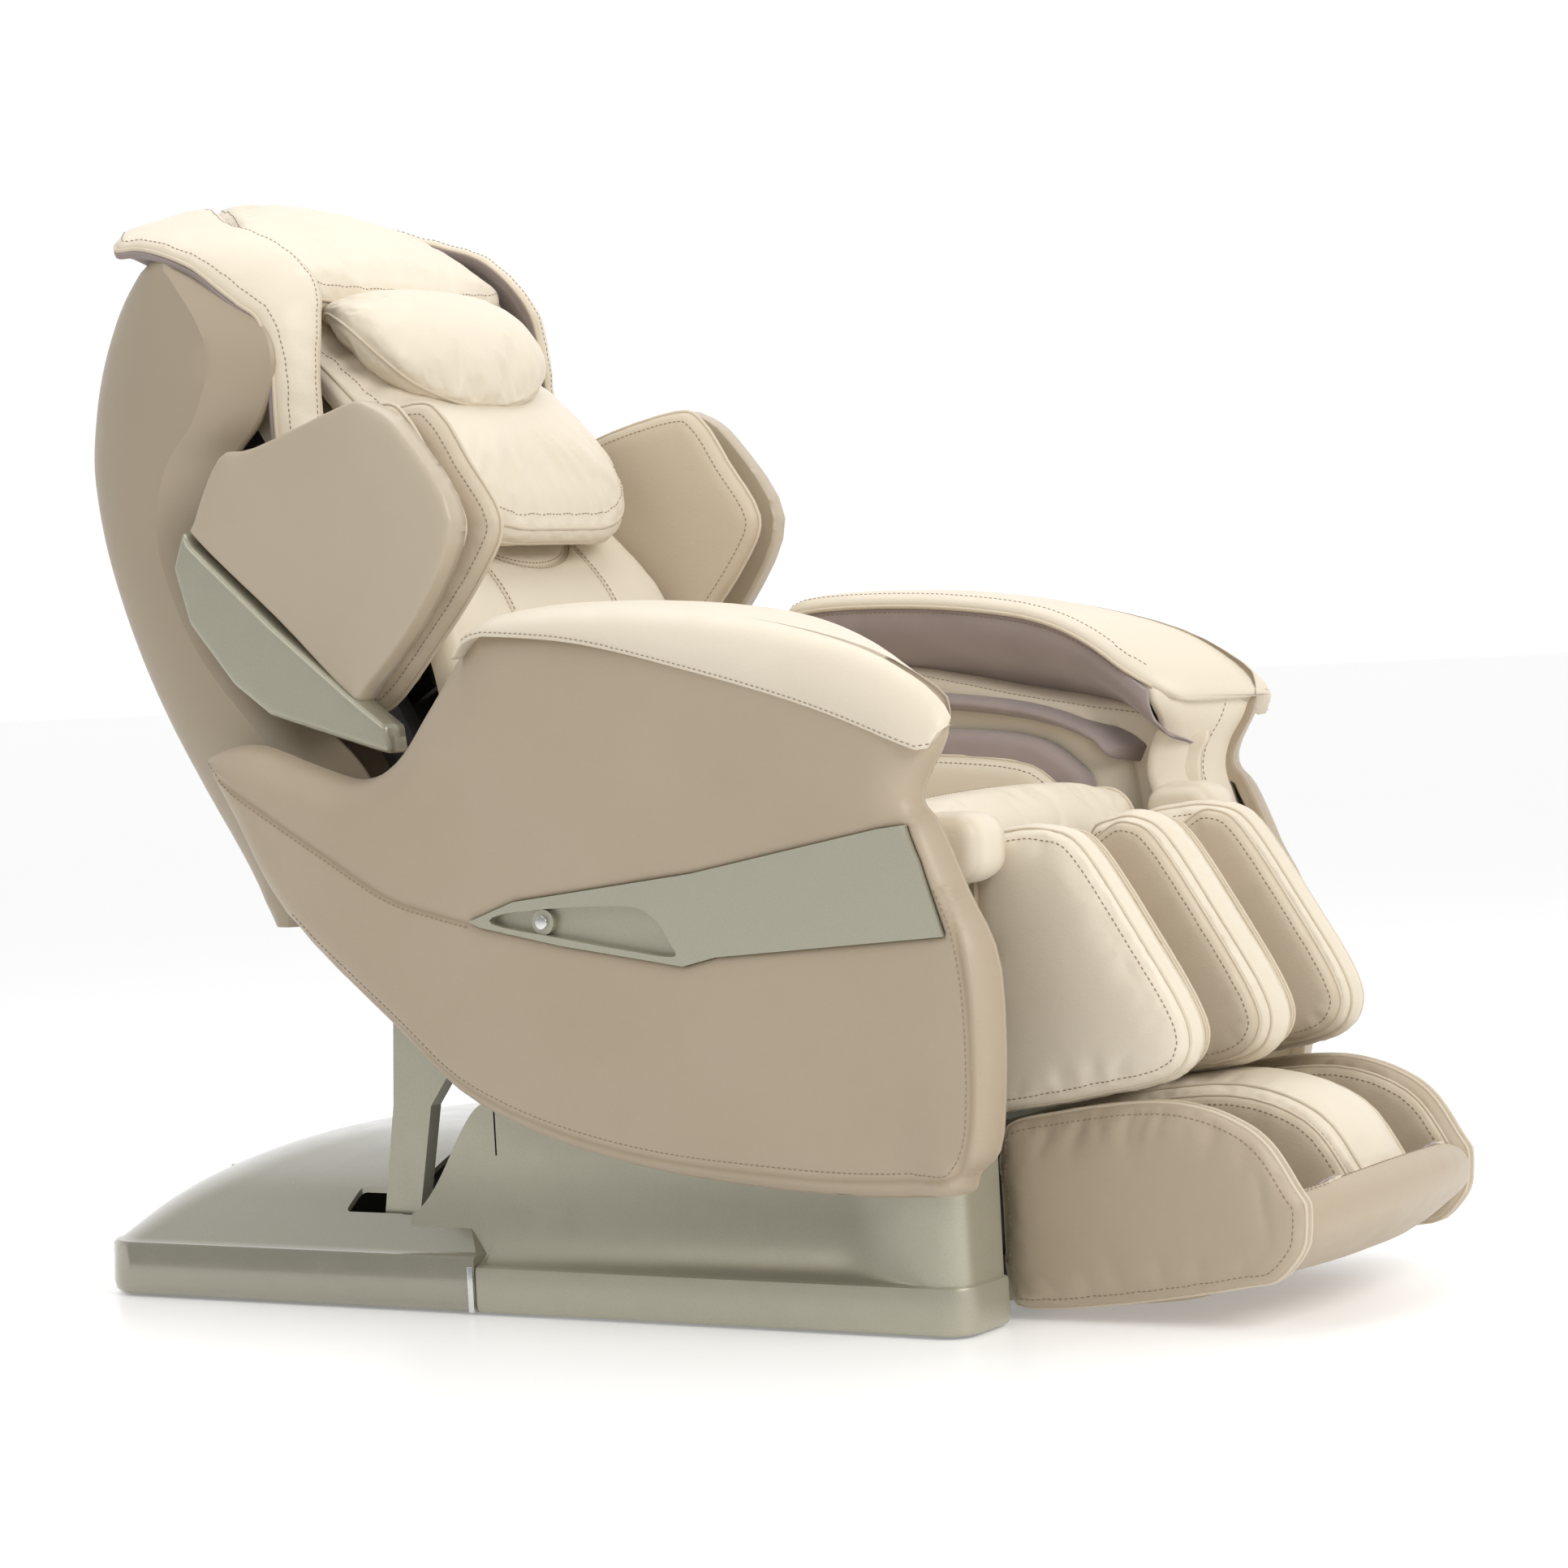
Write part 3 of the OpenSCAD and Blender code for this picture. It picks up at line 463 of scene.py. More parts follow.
class Pad:
    """A sewn or moulded form over a flat outline, with a front, a back and a wall between.

    front and back give heights from the points p, their distance d from the outline and the swelling phi.
    """

    def __init__(self, name, ring, front, back, mat, place, radius=0.03, grid=0.009, holes=(),
                 lines=(), bulge=None, walls=2, pucker=0.0, step=0.006, seed=1.0, groove=0.0018):
        ring = anticlockwise(even(ring, step, True))
        holes = [even(h, step, True) for h in holes]
        self.ring, self.place, self.front, self.back = ring, place, front, back
        self.swell = swelling(ring)
        self.lines = [even(l, 0.005) for l in lines]
        self.pucker, self.seed, self.groove = pucker, seed, groove
        normal = outward(ring)
        points = [ring] + holes
        edges, base = [], 0
        for r in points:
            n = len(r)
            edges += [(base + i, base + (i + 1) % n) for i in range(n)]
            base += n
        rows = [radius * (1 - math.cos(a)) for a in np.radians([14, 28, 42, 56, 72, 90])]
        extra = []
        for d in rows:
            q = ring - normal * d
            far, _ = nearest(q, ring)
            extra.append(q[(far > 0.94 * d) & inside(q, ring)])
        for h in holes:
            for d in (0.002, 0.005, 0.010):
                extra.append(h + outward(anticlockwise(h)) * d)
        for l in self.lines:
            extra += [l + left_of(l) * k for k in (0, 0.0025, -0.0025, 0.006, -0.006)]
        lo, hi = ring.min(0), ring.max(0)
        gx, gz = np.meshgrid(np.arange(lo[0], hi[0], grid), np.arange(lo[1], hi[1], grid * 0.87))
        gx[1::2] += grid / 2
        q = np.stack([gx.ravel(), gz.ravel()], 1)
        far, _ = nearest(q, ring)
        keep = inside(q, ring) & (far > radius + grid * 0.5)
        for h in holes:
            keep &= nearest(q, h)[0] > 0.012
        for l in self.lines:
            keep &= nearest(q, l, False)[0] > 0.008
        extra.append(q[keep])
        extra = np.vstack(extra)
        ok = inside(extra, ring) & (nearest(extra, ring)[0] > 0.0012)
        for h in holes:
            ok &= ~inside(extra, h) & (nearest(extra, h)[0] > 0.0012)
        rim = np.vstack(points)
        flat = np.vstack([rim, extra[ok]])
        out, _, tris, origin, _, _ = delaunay_2d_cdt([Vector(p) for p in flat], edges, [], 0, 1e-5)
        co = np.array([tuple(v) for v in out])
        where = {i: k for k, group in enumerate(origin) for i in group}
        mid = np.array([co[list(t)].mean(0) for t in tris])
        good = inside(mid, ring)
        for h in holes:
            good &= ~inside(mid, h)
        tris = [tuple(t) for t, g in zip(tris, good) if g]
        hf, hb = self.heights(co)
        n = len(co)
        verts = [place(co[:, 0], co[:, 1], hf), place(co[:, 0], co[:, 1], hb)]
        faces = tris + [tuple(i + n for i in t[::-1]) for t in tris]
        seam = [self.seam_shade_mask(co)] * 2
        count = 2 * n
        base = 0
        for r, is_hole in zip(points, [False] + [True] * len(holes)):
            ids = [where[base + i] for i in range(len(r))]
            base += len(r)
            nr = outward(r)
            loops = [ids]
            for w in range(1, walls + 1):
                if w == walls:
                    loops.append([i + n for i in ids])
                    continue
                t = w / walls
                push = 0 if (is_hole or bulge is None) else bulge(nr) * (1 - (2 * t - 1) ** 2)
                p = r + nr * np.reshape(push, (-1, 1) if np.ndim(push) else (1, 1))
                h = hf[ids] * (1 - t) + hb[ids] * t
                verts.append(place(p[:, 0], p[:, 1], h))
                seam.append(np.zeros(len(r)))
                loops.append(list(range(count, count + len(r))))
                count += len(r)
            for a, b in zip(loops, loops[1:]):
                k = len(a)
                faces += [(a[i], a[(i + 1) % k], b[(i + 1) % k], b[i]) for i in range(k)]
        self.obj = build(name, np.vstack(verts), faces, mat, seam=np.concatenate(seam))

    def heights(self, p):
        d, s = nearest(p, self.ring)
        phi = self.swell(p)
        fold = np.zeros(len(p))
        for l in self.lines:
            fold += self.groove * np.exp(-(nearest(p, l, False)[0] / 0.0035) ** 2)
        ripple = self.pucker * np.exp(-d / 0.022) * (1 - np.exp(-d / 0.004)) * wave(s, self.seed, 0.034)
        hf, hb = self.front(p, d, phi), self.back(p, d, phi)
        up = np.sign(hf - hb + 1e-9)
        return hf - up * (fold + ripple), hb

    # Mask of painted shade in the seam creases: 0.55 along the outline and 1 on the sewn lines.
    def seam_shade_mask(self, p):
        c = 0.55 * np.exp(-(nearest(p, self.ring)[0] / 0.004) ** 2)
        for l in self.lines:
            c = np.maximum(c, np.exp(-(nearest(p, l, False)[0] / 0.003) ** 2))
        return c

    def trace(self, line, back=False):
        """A line of the flat outline, carried to the surface."""
        h = self.heights(line)[1 if back else 0]
        return self.place(line[:, 0], line[:, 1], h)

    def rim(self, inset=0.0, back=False):
        """The outline, moved inward, on the surface."""
        p = self.ring - outward(self.ring) * inset
        keep = nearest(p, self.ring)[0] > inset * 0.9 if inset else np.ones(len(p), bool)
        return self.trace(p[keep], back)


def slab_place(side):
    """Puts a form in a side view: its height is the distance from the centre plane."""
    return lambda a, b, h: np.stack([a, side * h, b], 1)


def dome(base, rise=0, radius=1, swell=0):
    """Face of a Pad: a base height, a rounded rise within radius of the outline, and a swelling."""
    return lambda p, d, phi: base + rise * round_off(d, radius) + swell * phi


def bent_place(upper, lower):
    """Puts a form over a bent sheet: a runs along it, b across the chair, h off its middle. Also
    returns its length and its half thickness as a function of a."""
    n = 80
    u = even(spline(upper, 4), np.linalg.norm(np.diff(upper, axis=0), axis=1).sum() / n)
    v = even(spline(lower, 4), np.linalg.norm(np.diff(lower, axis=0), axis=1).sum() / n)
    k = min(len(u), len(v))
    u, v = u[:k], v[:k]
    mid = (u + v) / 2
    run = np.concatenate([[0], np.cumsum(np.linalg.norm(np.diff(mid, axis=0), axis=1))])
    normal = left_of(mid)
    normal *= np.sign(((u - v) * normal).sum())
    t = np.gradient(mid, axis=0)
    t /= np.linalg.norm(t, axis=1, keepdims=True)

    def place(a, b, h):
        over = np.minimum(a, 0), np.maximum(a - run[-1], 0)
        x, z = (np.interp(a, run, mid[:, k]) + h * np.interp(a, run, normal[:, k])
                + over[0] * t[0, k] + over[1] * t[-1, k] for k in (0, 1))
        return np.stack([x, b, z], 1)
    half = np.linalg.norm(u - v, axis=1) / 2
    return place, run[-1], lambda a: np.interp(a, run, half)


def rounded(a0, a1, b0, b1, r, n=6):
    """Rectangle with rounded corners; r is one radius or four, anticlockwise from the low corner."""
    r = [r] * 4 if np.isscalar(r) else r
    out = []
    for (ca, cb), rad, start in zip(((a0, b0), (a1, b0), (a1, b1), (a0, b1)), r, (180, 270, 0, 90)):
        ma, mb = ca + (rad if ca == a0 else -rad), cb + (rad if cb == b0 else -rad)
        for t in np.radians(start + np.linspace(0, 90, n)):
            out.append((ma + rad * math.cos(t), mb + rad * math.sin(t)))
    return np.array(out)


def band(a, b, k, closed=True):
    """Quads between a row of k points that starts at number a and a row that starts at b."""
    return [(a + j, a + (j + 1) % k, b + (j + 1) % k, b + j) for j in range(k if closed else k - 1)]


def loft(name, sections, mat, closed=True):
    """Skin over matching sections, closed round each section unless it is an open strip."""
    s = np.asarray(sections, float)
    m, k = s.shape[:2]
    faces = []
    for i in range(m - 1):
        faces += band(i * k, (i + 1) * k, k, closed)
    verts = s.reshape(-1, 3)
    if closed:
        faces += [tuple(range(k))[::-1], tuple(range((m - 1) * k, m * k))]
    return build(name, verts, faces, mat)


def modify(obj, *steps):
    """Applies modifiers, given as (kind, settings), for good."""
    bpy.context.view_layer.objects.active = obj
    for kind, settings in steps:
        m = obj.modifiers.new(kind.lower(), kind)
        for key, value in settings.items():
            setattr(m, key, value)
    graph = bpy.context.evaluated_depsgraph_get()
    data = bpy.data.meshes.new_from_object(obj.evaluated_get(graph))
    obj.modifiers.clear()
    old, obj.data = obj.data, data
    data.name = obj.name
    bpy.data.meshes.remove(old)


def crisp(obj, angle):
    """Smooth shading that keeps edges sharper than angle, in degrees."""
    obj.data.polygons.foreach_set("use_smooth", [True] * len(obj.data.polygons))
    with bpy.context.temp_override(object=obj, selected_editable_objects=[obj], active_object=obj):
        bpy.ops.object.shade_smooth_by_angle(angle=math.radians(angle))


def softened(node, name, mat, width=0.0015, segments=2, angle=35, smooth=40):
    """Copy of a rigid CAD node with its sharp edges rounded."""
    data = CAD[node].data.copy()
    data.materials.clear()
    obj = bpy.data.objects.new(name, data)
    scene.collection.objects.link(obj)
    bm = bmesh.new()
    bm.from_mesh(data)
    bmesh.ops.remove_doubles(bm, verts=bm.verts, dist=2e-6)
    bmesh.ops.dissolve_limit(bm, angle_limit=math.radians(0.5), verts=bm.verts, edges=bm.edges)
    bm.to_mesh(data)
    bm.free()
    modify(obj, ("BEVEL", {"width": width, "segments": segments, "limit_method": "ANGLE",
                           "angle_limit": math.radians(angle), "use_clamp_overlap": True}))
    obj.data.materials.append(mat)
    crisp(obj, smooth)
    return obj


# ---- Seams: piping and stitches, gathered by the body that they ride on ----

sewn = {}


def gather(body, kind, verts, faces):
    """Adds a seam's mesh to the others of its kind on the same body."""
    store = sewn.setdefault((body, kind), [[], [], 0])
    store[0].append(verts)
    store[1] += [tuple(i + store[2] for i in f) for f in faces]
    store[2] += len(verts)


def directions(path, closed):
    """Unit directions along a path in space."""
    d = np.roll(path, -1, 0) - np.roll(path, 1, 0) if closed else np.gradient(path, axis=0)
    return d / np.maximum(np.linalg.norm(d, axis=1, keepdims=True), 1e-9)


def pipe(body, path, radius=0.0022, kind="piping", closed=True):
    """Round cord sewn along a path."""
    sides = 6
    path = even(path, 0.006, closed)
    t = directions(path, closed)
    ref = np.cross(t, (0.13, 0.97, 0.21))
    ref /= np.linalg.norm(ref, axis=1, keepdims=True)
    other = np.cross(t, ref)
    a = np.arange(sides) * 2 * math.pi / sides
    ring = path[:, None] + radius * (np.cos(a)[None, :, None] * ref[:, None]
                                     + np.sin(a)[None, :, None] * other[:, None])
    n = len(path)
    faces = []
    for i in range(n if closed else n - 1):
        faces += band(i * sides, (i + 1) % n * sides, sides)
    if not closed:
        faces += [tuple(range(sides))[::-1], tuple((n - 1) * sides + j for j in range(sides))]
    gather(body, kind, ring.reshape(-1, 3), faces)


def tree_of(obj):
    """Search tree of a mesh, to lay stitches on it."""
    data = obj.data
    return BVHTree.FromPolygons([v.co for v in data.vertices], [tuple(p.vertices) for p in data.polygons])


STITCH_PITCH, STITCH_HALF, STITCH_THICK = 0.0062, 0.0021, 0.00062


def stitch(body, obj, path, closed=False):
    """Row of thread stitches laid on a piece, or on the tree of one, along a path."""
    tree = obj if isinstance(obj, BVHTree) else tree_of(obj)
    path = even(path, STITCH_PITCH, closed)
    t = directions(path, closed)
    half, thick = STITCH_HALF, STITCH_THICK
    shape = np.array([(-1, 0, 0), (-0.6, 1, 0), (-0.6, 0, 1), (-0.6, -1, 0), (-0.6, 0, -1),
                      (0.6, 1, 0), (0.6, 0, 1), (0.6, -1, 0), (0.6, 0, -1), (1, 0, 0)])
    faces = [(0, 2, 1), (0, 3, 2), (0, 4, 3), (0, 1, 4), (1, 2, 6, 5), (2, 3, 7, 6), (3, 4, 8, 7),
             (4, 1, 5, 8), (9, 5, 6), (9, 6, 7), (9, 7, 8), (9, 8, 5)]
    verts, all_faces = [], []
    for p, d in zip(path, t):
        hit = tree.find_nearest(Vector(p), 0.03)
        if hit[0] is None:
            continue
        c, n = np.array(hit[0]), np.array(hit[1])
        d = d - n * d.dot(n)
        d /= max(np.linalg.norm(d), 1e-9)
        w = np.cross(n, d)
        m = c + n * thick * 0.35
        base = len(verts) * 10
        verts.append(m + shape[:, 0:1] * half * d + shape[:, 1:2] * thick * w + shape[:, 2:3] * thick * n)
        all_faces += [tuple(i + base for i in f) for f in faces]
    if verts:
        gather(body, "stitching", np.vstack(verts), all_faces)


def inflate(pad, cap, pins, voxel=0.005, force=4.0, spare=0.02):
    """Blows a sewn piece up as cloth with its seams held; no point moves further than cap."""
    obj = pad.obj
    modify(obj, ("REMESH", {"mode": "VOXEL", "voxel_size": voxel, "use_smooth_shade": True}))
    data = obj.data
    rest = np.empty(len(data.vertices) * 3)
    data.vertices.foreach_get("co", rest)
    rest = rest.reshape(-1, 3)
    held = np.zeros(len(rest), bool)
    for part in np.array_split(np.arange(len(rest)), max(1, len(rest) // 2000)):
        near = np.linalg.norm(rest[part][:, None] - pins[None], axis=2).min(1)
        held[part] = near < voxel * 0.95
    group = obj.vertex_groups.new(name="held")
    group.add([int(i) for i in np.where(held)[0]], 1.0, "REPLACE")
    cloth = obj.modifiers.new("cloth", "CLOTH")
    cloth.settings.quality = 5
    cloth.settings.mass = 0.3
    cloth.settings.tension_stiffness = 12
    cloth.settings.compression_stiffness = 8
    cloth.settings.bending_stiffness = 0.4
    cloth.settings.use_pressure = True
    cloth.settings.uniform_pressure_force = force
    cloth.settings.shrink_min = -spare
    cloth.settings.vertex_group_mass = "held"
    cloth.settings.effector_weights.gravity = 0
    cloth.collision_settings.use_collision = False
    cloth.point_cache.frame_start = 1
    cloth.point_cache.frame_end = 20
    for f in range(1, 19):
        scene.frame_set(f)
    graph = bpy.context.evaluated_depsgraph_get()
    shape = obj.evaluated_get(graph).data
    moved = np.empty(len(shape.vertices) * 3)
    shape.vertices.foreach_get("co", moved)
    moved = moved.reshape(-1, 3) - rest
    size = np.linalg.norm(moved, axis=1, keepdims=True)
    moved *= np.tanh(size / cap) * cap / np.maximum(size, 1e-9)
    obj.modifiers.clear()
    obj.vertex_groups.clear()
    data.vertices.foreach_set("co", (rest + moved).ravel())
    scene.frame_set(1)
    modify(obj, ("SUBSURF", {"levels": 1, "render_levels": 1}))
    obj.data.polygons.foreach_set("use_smooth", [True] * len(obj.data.polygons))


# ---- Rigid parts ----


def paint(mat, *nodes):
    """Gives rigid CAD pieces, which show as they are, their material."""
    for n in nodes:
        CAD[n].data.materials.clear()
        CAD[n].data.materials.append(mat)


paint(STEEL, "base_frame", "back_frame")
paint(CHAMPAGNE, "seat_frame")
paint(SHELL, "legrest_frame")
paint(BLACK, "control_box", "legrest_motor", "tilt_cylinder", "recline_cylinder", "carriage")
paint(SILVER, "tilt_rod", "recline_rod")
paint(ROLLER, "kneading_heads", "foot_rollers")
paint(RUBBER, "rubber_feet")
paint(BOARD, "arm_frame_left", "arm_frame_right")

for name, mat, body, slot, width in (
        ("power_panel", BLACK, "base", "black_plastic", 0.0012),
        ("power_rocker", BLACK, "power_rocker", "black_plastic", 0.0005),
        ("wheel_left", RUBBER, "wheel_left", "rubber", 0.003),
        ("wheel_right", RUBBER, "wheel_right", "rubber", 0.003),
        ("seam_strips", SILVER, "base", "silver_trim", 0.0006),
        ("boss_screws", SILVER, "seat", "silver_trim", 0.0006)):
    put(softened(name, "look_" + name, mat, width), body, slot, name)


def base_rear():
    """Rear cover: a wall with rounded corners, a ridge, a sloped facet and a glossy dome."""
    lo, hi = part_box("base_rear_cover")
    half, rear, seam = hi.y, lo.x, hi.x
    # Rows of the cover: Z, inset at the sides, at the rear and at the seam, and radius of the rear corners
    keys = [(0.003, 0.005, 0.005, 0.0, 0.045), (0.007, 0.0015, 0.0015, 0.0, 0.047), (0.016, 0, 0, 0, 0.048),
            (0.057, 0, 0, 0, 0.052), (0.0605, 0.002, 0.002, 0.0, 0.054)]
    slope = spline([(0.0615, 0.006, 0.005, 0.0, 0.056), (0.096, 0.050, 0.028, 0.040, 0.080),
                    (0.124, 0.092, 0.068, 0.080, 0.090), (0.148, 0.150, 0.124, 0.100, 0.090),
                    (0.1615, 0.206, 0.184, 0.120, 0.080), (0.166, 0.262, 0.262, 0.130, 0.050)], 7)
    rings = []
    for shrink in (0.0, 0.004):
        rows = []
        for z, dy, dx, dseam, r in keys + [tuple(v) for v in slope]:
            y, x0, x1 = half - dy - shrink, rear + dx + shrink, seam - dseam - shrink
            corner = [(x0 + r - r * math.cos(t), -(y - r) - r * math.sin(t)) for t in arc(90, 0, 10)]
            corner += [(x, -v) for x, v in corner[::-1]]
            rows.append([(x, v, max(z - shrink, 0.0025)) for x, v in [(x1, -y)] + corner + [(x1, y)]])
        rings.append(rows)
    outer, inner = rings
    k = len(outer[0])
    rows = outer + inner[::-1]
    verts = [p for row in rows for p in row]
    faces = []
    for i in range(len(rows)):
        if i != len(outer) - 1:
            faces += band(i * k, (i + 1) % len(rows) * k, k)
    top = (len(outer) - 1) * k
    faces.append(tuple(range(top, top + k)))
    faces.append(tuple(range(top + k, top + 2 * k))[::-1])
    shell = build("base_rear", verts, faces, GLOSS)
    cuts = [((seam - 0.130, -0.288, -0.01), (seam + 0.01, 0.288, 0.3))]
    cuts += [((-0.385, -0.287, 0.062), (-0.300, -0.255, 0.3)), ((-0.385, 0.255, 0.062), (-0.300, 0.287, 0.3))]
    for a, b in cuts:
        carve(shell, box_mesh(a, b, 0.006))
    panel = box_mesh((-0.0175, -0.0355, -0.012), (0.0175, 0.0355, 0.04), 0.003)
    panel.data.transform(Matrix.Translation((-0.650, -0.128, 0.106))
                         @ Matrix.Rotation(math.radians(-46), 4, "Y"))
    carve(shell, panel)
    crisp(shell, 32)
    return shell


def box_mesh(a, b, r):
    """Box from corner a to corner b with edges rounded by r."""
    bm = bmesh.new()
    bmesh.ops.create_cube(bm, size=1)
    for v in bm.verts:
        v.co = Vector([a[i] if v.co[i] < 0 else b[i] for i in range(3)])
    bmesh.ops.bevel(bm, geom=bm.edges[:], offset=r, segments=3, affect="EDGES", profile=0.5)
    data = bpy.data.meshes.new("cutter")
    bm.to_mesh(data)
    bm.free()
    obj = bpy.data.objects.new("cutter", data)
    scene.collection.objects.link(obj)
    return obj


def carve(obj, cutter):
    """Cuts one mesh out of another and deletes the cutter."""
    bpy.context.view_layer.update()
    modify(obj, ("BOOLEAN", {"operation": "DIFFERENCE", "object": cutter, "solver": "EXACT"}))
    data = cutter.data
    bpy.data.objects.remove(cutter)
    bpy.data.meshes.remove(data)


# The concave flare of the front cover is a quarter of an ellipse
FLARE_TOP, FLARE_RISE, FLARE_DEPTH = 0.159, 0.1075, 0.0385


def base_front():
    """Front cover: a wall and a concave flare swept round the front corners, and the recess between."""
    lo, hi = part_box("base_front_cover")
    half, x0, x1 = hi.y, lo.x, hi.x
    r, wall, inner_y, recess = 0.030, 0.004, 0.240, x1 - 0.062
    path = [(x, half, 0, 1) for x in np.linspace(x0, x1 - r, 40)]
    path += [(x1 - r + r * math.sin(t), half - r + r * math.cos(t), math.sin(t), math.cos(t))
             for t in arc(9, 90, 10)]
    path += [(x1, y, 1, 0) for y in np.linspace(half - r - 0.008, inner_y + 0.010, 5)]
    path += [(x1 - 0.010 + 0.010 * math.cos(t), inner_y + 0.010 - 0.010 * math.sin(t), math.cos(t),
              -math.sin(t)) for t in arc(20, 90, 5)]
    path += [(x, inner_y, 0, -1) for x in np.linspace(x1 - 0.016, recess + 0.002, 5)]
    profile = [(0.003, 0.004), (0.006, 0.001), (0.012, 0.0), (0.046, 0.0), (0.0495, 0.0012), (0.0515, 0.0045)]
    profile += [(FLARE_TOP - FLARE_RISE * math.cos(t), 0.0075 + FLARE_DEPTH * math.sin(t))
                for t in arc(4, 90, 16)]
    profile += [(0.262, 0.046)]
    for s, tag in ((1, "left"), (-1, "right")):
        sections = []
        for x, y, nx, ny in path:
            near = min(max((x - (x1 - 0.150)) / 0.120, 0), 1)
            along_wall = 1 - near * near * (3 - 2 * near) if ny > 0.5 else 0
            top = 0.200 if along_wall < 0.02 else 0.200 + 0.062 * min(along_wall * 3, 1)
            outer = []
            for z, o in profile:
                o = min(o, 0.0045) + max(o - 0.0045, 0) * along_wall
                z = z if z < 0.16 else FLARE_TOP + (z - FLARE_TOP) * (top - FLARE_TOP) / 0.103
                outer.append((x - nx * o, s * (y - ny * o), z))
            inner = [(px - nx * wall, py - s * ny * wall, pz) for px, py, pz in outer]
            sections.append(outer + inner[::-1])
        piece = loft("base_front_" + tag, sections, CHAMPAGNE)
        crisp(piece, 38)
        put(piece, "base", "champagne")
    face = box_mesh((recess - 0.004, -inner_y - 0.002, 0.004), (recess, inner_y + 0.002, 0.186), 0.0012)
    face.name = "base_front_recess"
    face.data.materials.append(CHAMPAGNE)
    put(face, "base", "champagne", "base_front_cover")


def column_plates():
    """Plates that carry the front cover's flare on round the tilt columns, with a curved rear edge."""
    lo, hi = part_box("column_covers")
    for k, s in enumerate((1, -1)):
        sections = []
        for x in np.linspace(lo.x - 0.006, hi.x + 0.002, 24):
            top = 0.096 + (hi.z - 0.096) * smooth_step(x, lo.x - 0.012, hi.x - 0.008)
            face = []
            for z in np.linspace(0.050, top, 16):
                a = math.acos(min((FLARE_TOP - z) / FLARE_RISE, 1)) if z < FLARE_TOP else math.pi / 2
                face.append((0.3285 - FLARE_DEPTH * math.sin(a), z))
            ring = face + [(y - 0.004, z) for y, z in face[::-1]]
            sections.append([(x, s * y, z) for y, z in ring])
        plate = loft(f"column_plate_{k}", sections, CHAMPAGNE)
        crisp(plate, 40)
        put(plate, "base", "champagne", *(["column_covers"] if k == 0 else []))


put(base_rear(), "base", "champagne_gloss", "base_rear_cover")
base_front()
column_plates()

# ---- Back shell ----


def back_shell():
    lo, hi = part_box("back_shell")
    half = hi.y
    ring = rims("back_shell", hi.y)[0]
    ring = np.roll(ring, -ring[:, 1].argmax(), axis=0)
    bottom = np.where(np.abs(ring[:, 1] - lo.z) < 0.001)[0]
    rear = even(ring[:bottom[0] + 1], 0.004)[::-1]
    front = even(np.vstack([ring[bottom[-1]:], ring[:1]]), 0.004)
    t = np.linspace(0, 1, 64) ** 0.94

    def pick(line):
        return np.stack([np.interp(t, np.linspace(0, 1, len(line)), line[:, k]) for k in (0, 1)], 1)

    rear, front = pick(rear), pick(front)
    sections = []
    for (rx, rz), (fx, fz), u in zip(rear, front, t):
        depth = math.hypot(fx - rx, fz - rz)
        d = np.array([fx - rx, fz - rz]) / max(depth, 1e-6)
        bevel = min(0.056, depth * 0.45)
        top = min(max((u - 0.86) / 0.14, 0), 1)
        w = half * (1 - 0.10 * top ** 2)
        line = [(depth - 0.006, w - 0.050), (depth - 0.001, w - 0.046), (depth, w - 0.041),
                (depth - 0.002, w - 0.037), (depth - bevel * 0.5, w - 0.018),
                (depth - bevel * 0.94, w - 0.003), (depth - bevel * 1.08, w)]
        rest = depth - bevel * 1.10
        line += [(rest * (1 - math.sin(a) ** 0.9), (w - 0.075) + 0.074 * math.cos(a) ** 0.75)
                 for a in arc(8, 90, 14)]
        line += [(-0.002 * k, (w - 0.075) * (1 - k / 5)) for k in range(1, 6)]
        side = [(rx + d[0] * q, y, rz + d[1] * q) for q, y in line]
        sections.append(side + [(x, -y, z) for x, y, z in side[-2::-1]])
    shell = loft("back_shell_skin", sections, SHELL, closed=False)
    modify(shell, ("SOLIDIFY", {"thickness": 0.012, "offset": -1, "use_even_offset": False}))
    crisp(shell, 24)
    put(shell, "back", "beige_shell", "back_shell")


back_shell()

# ---- Wings ----

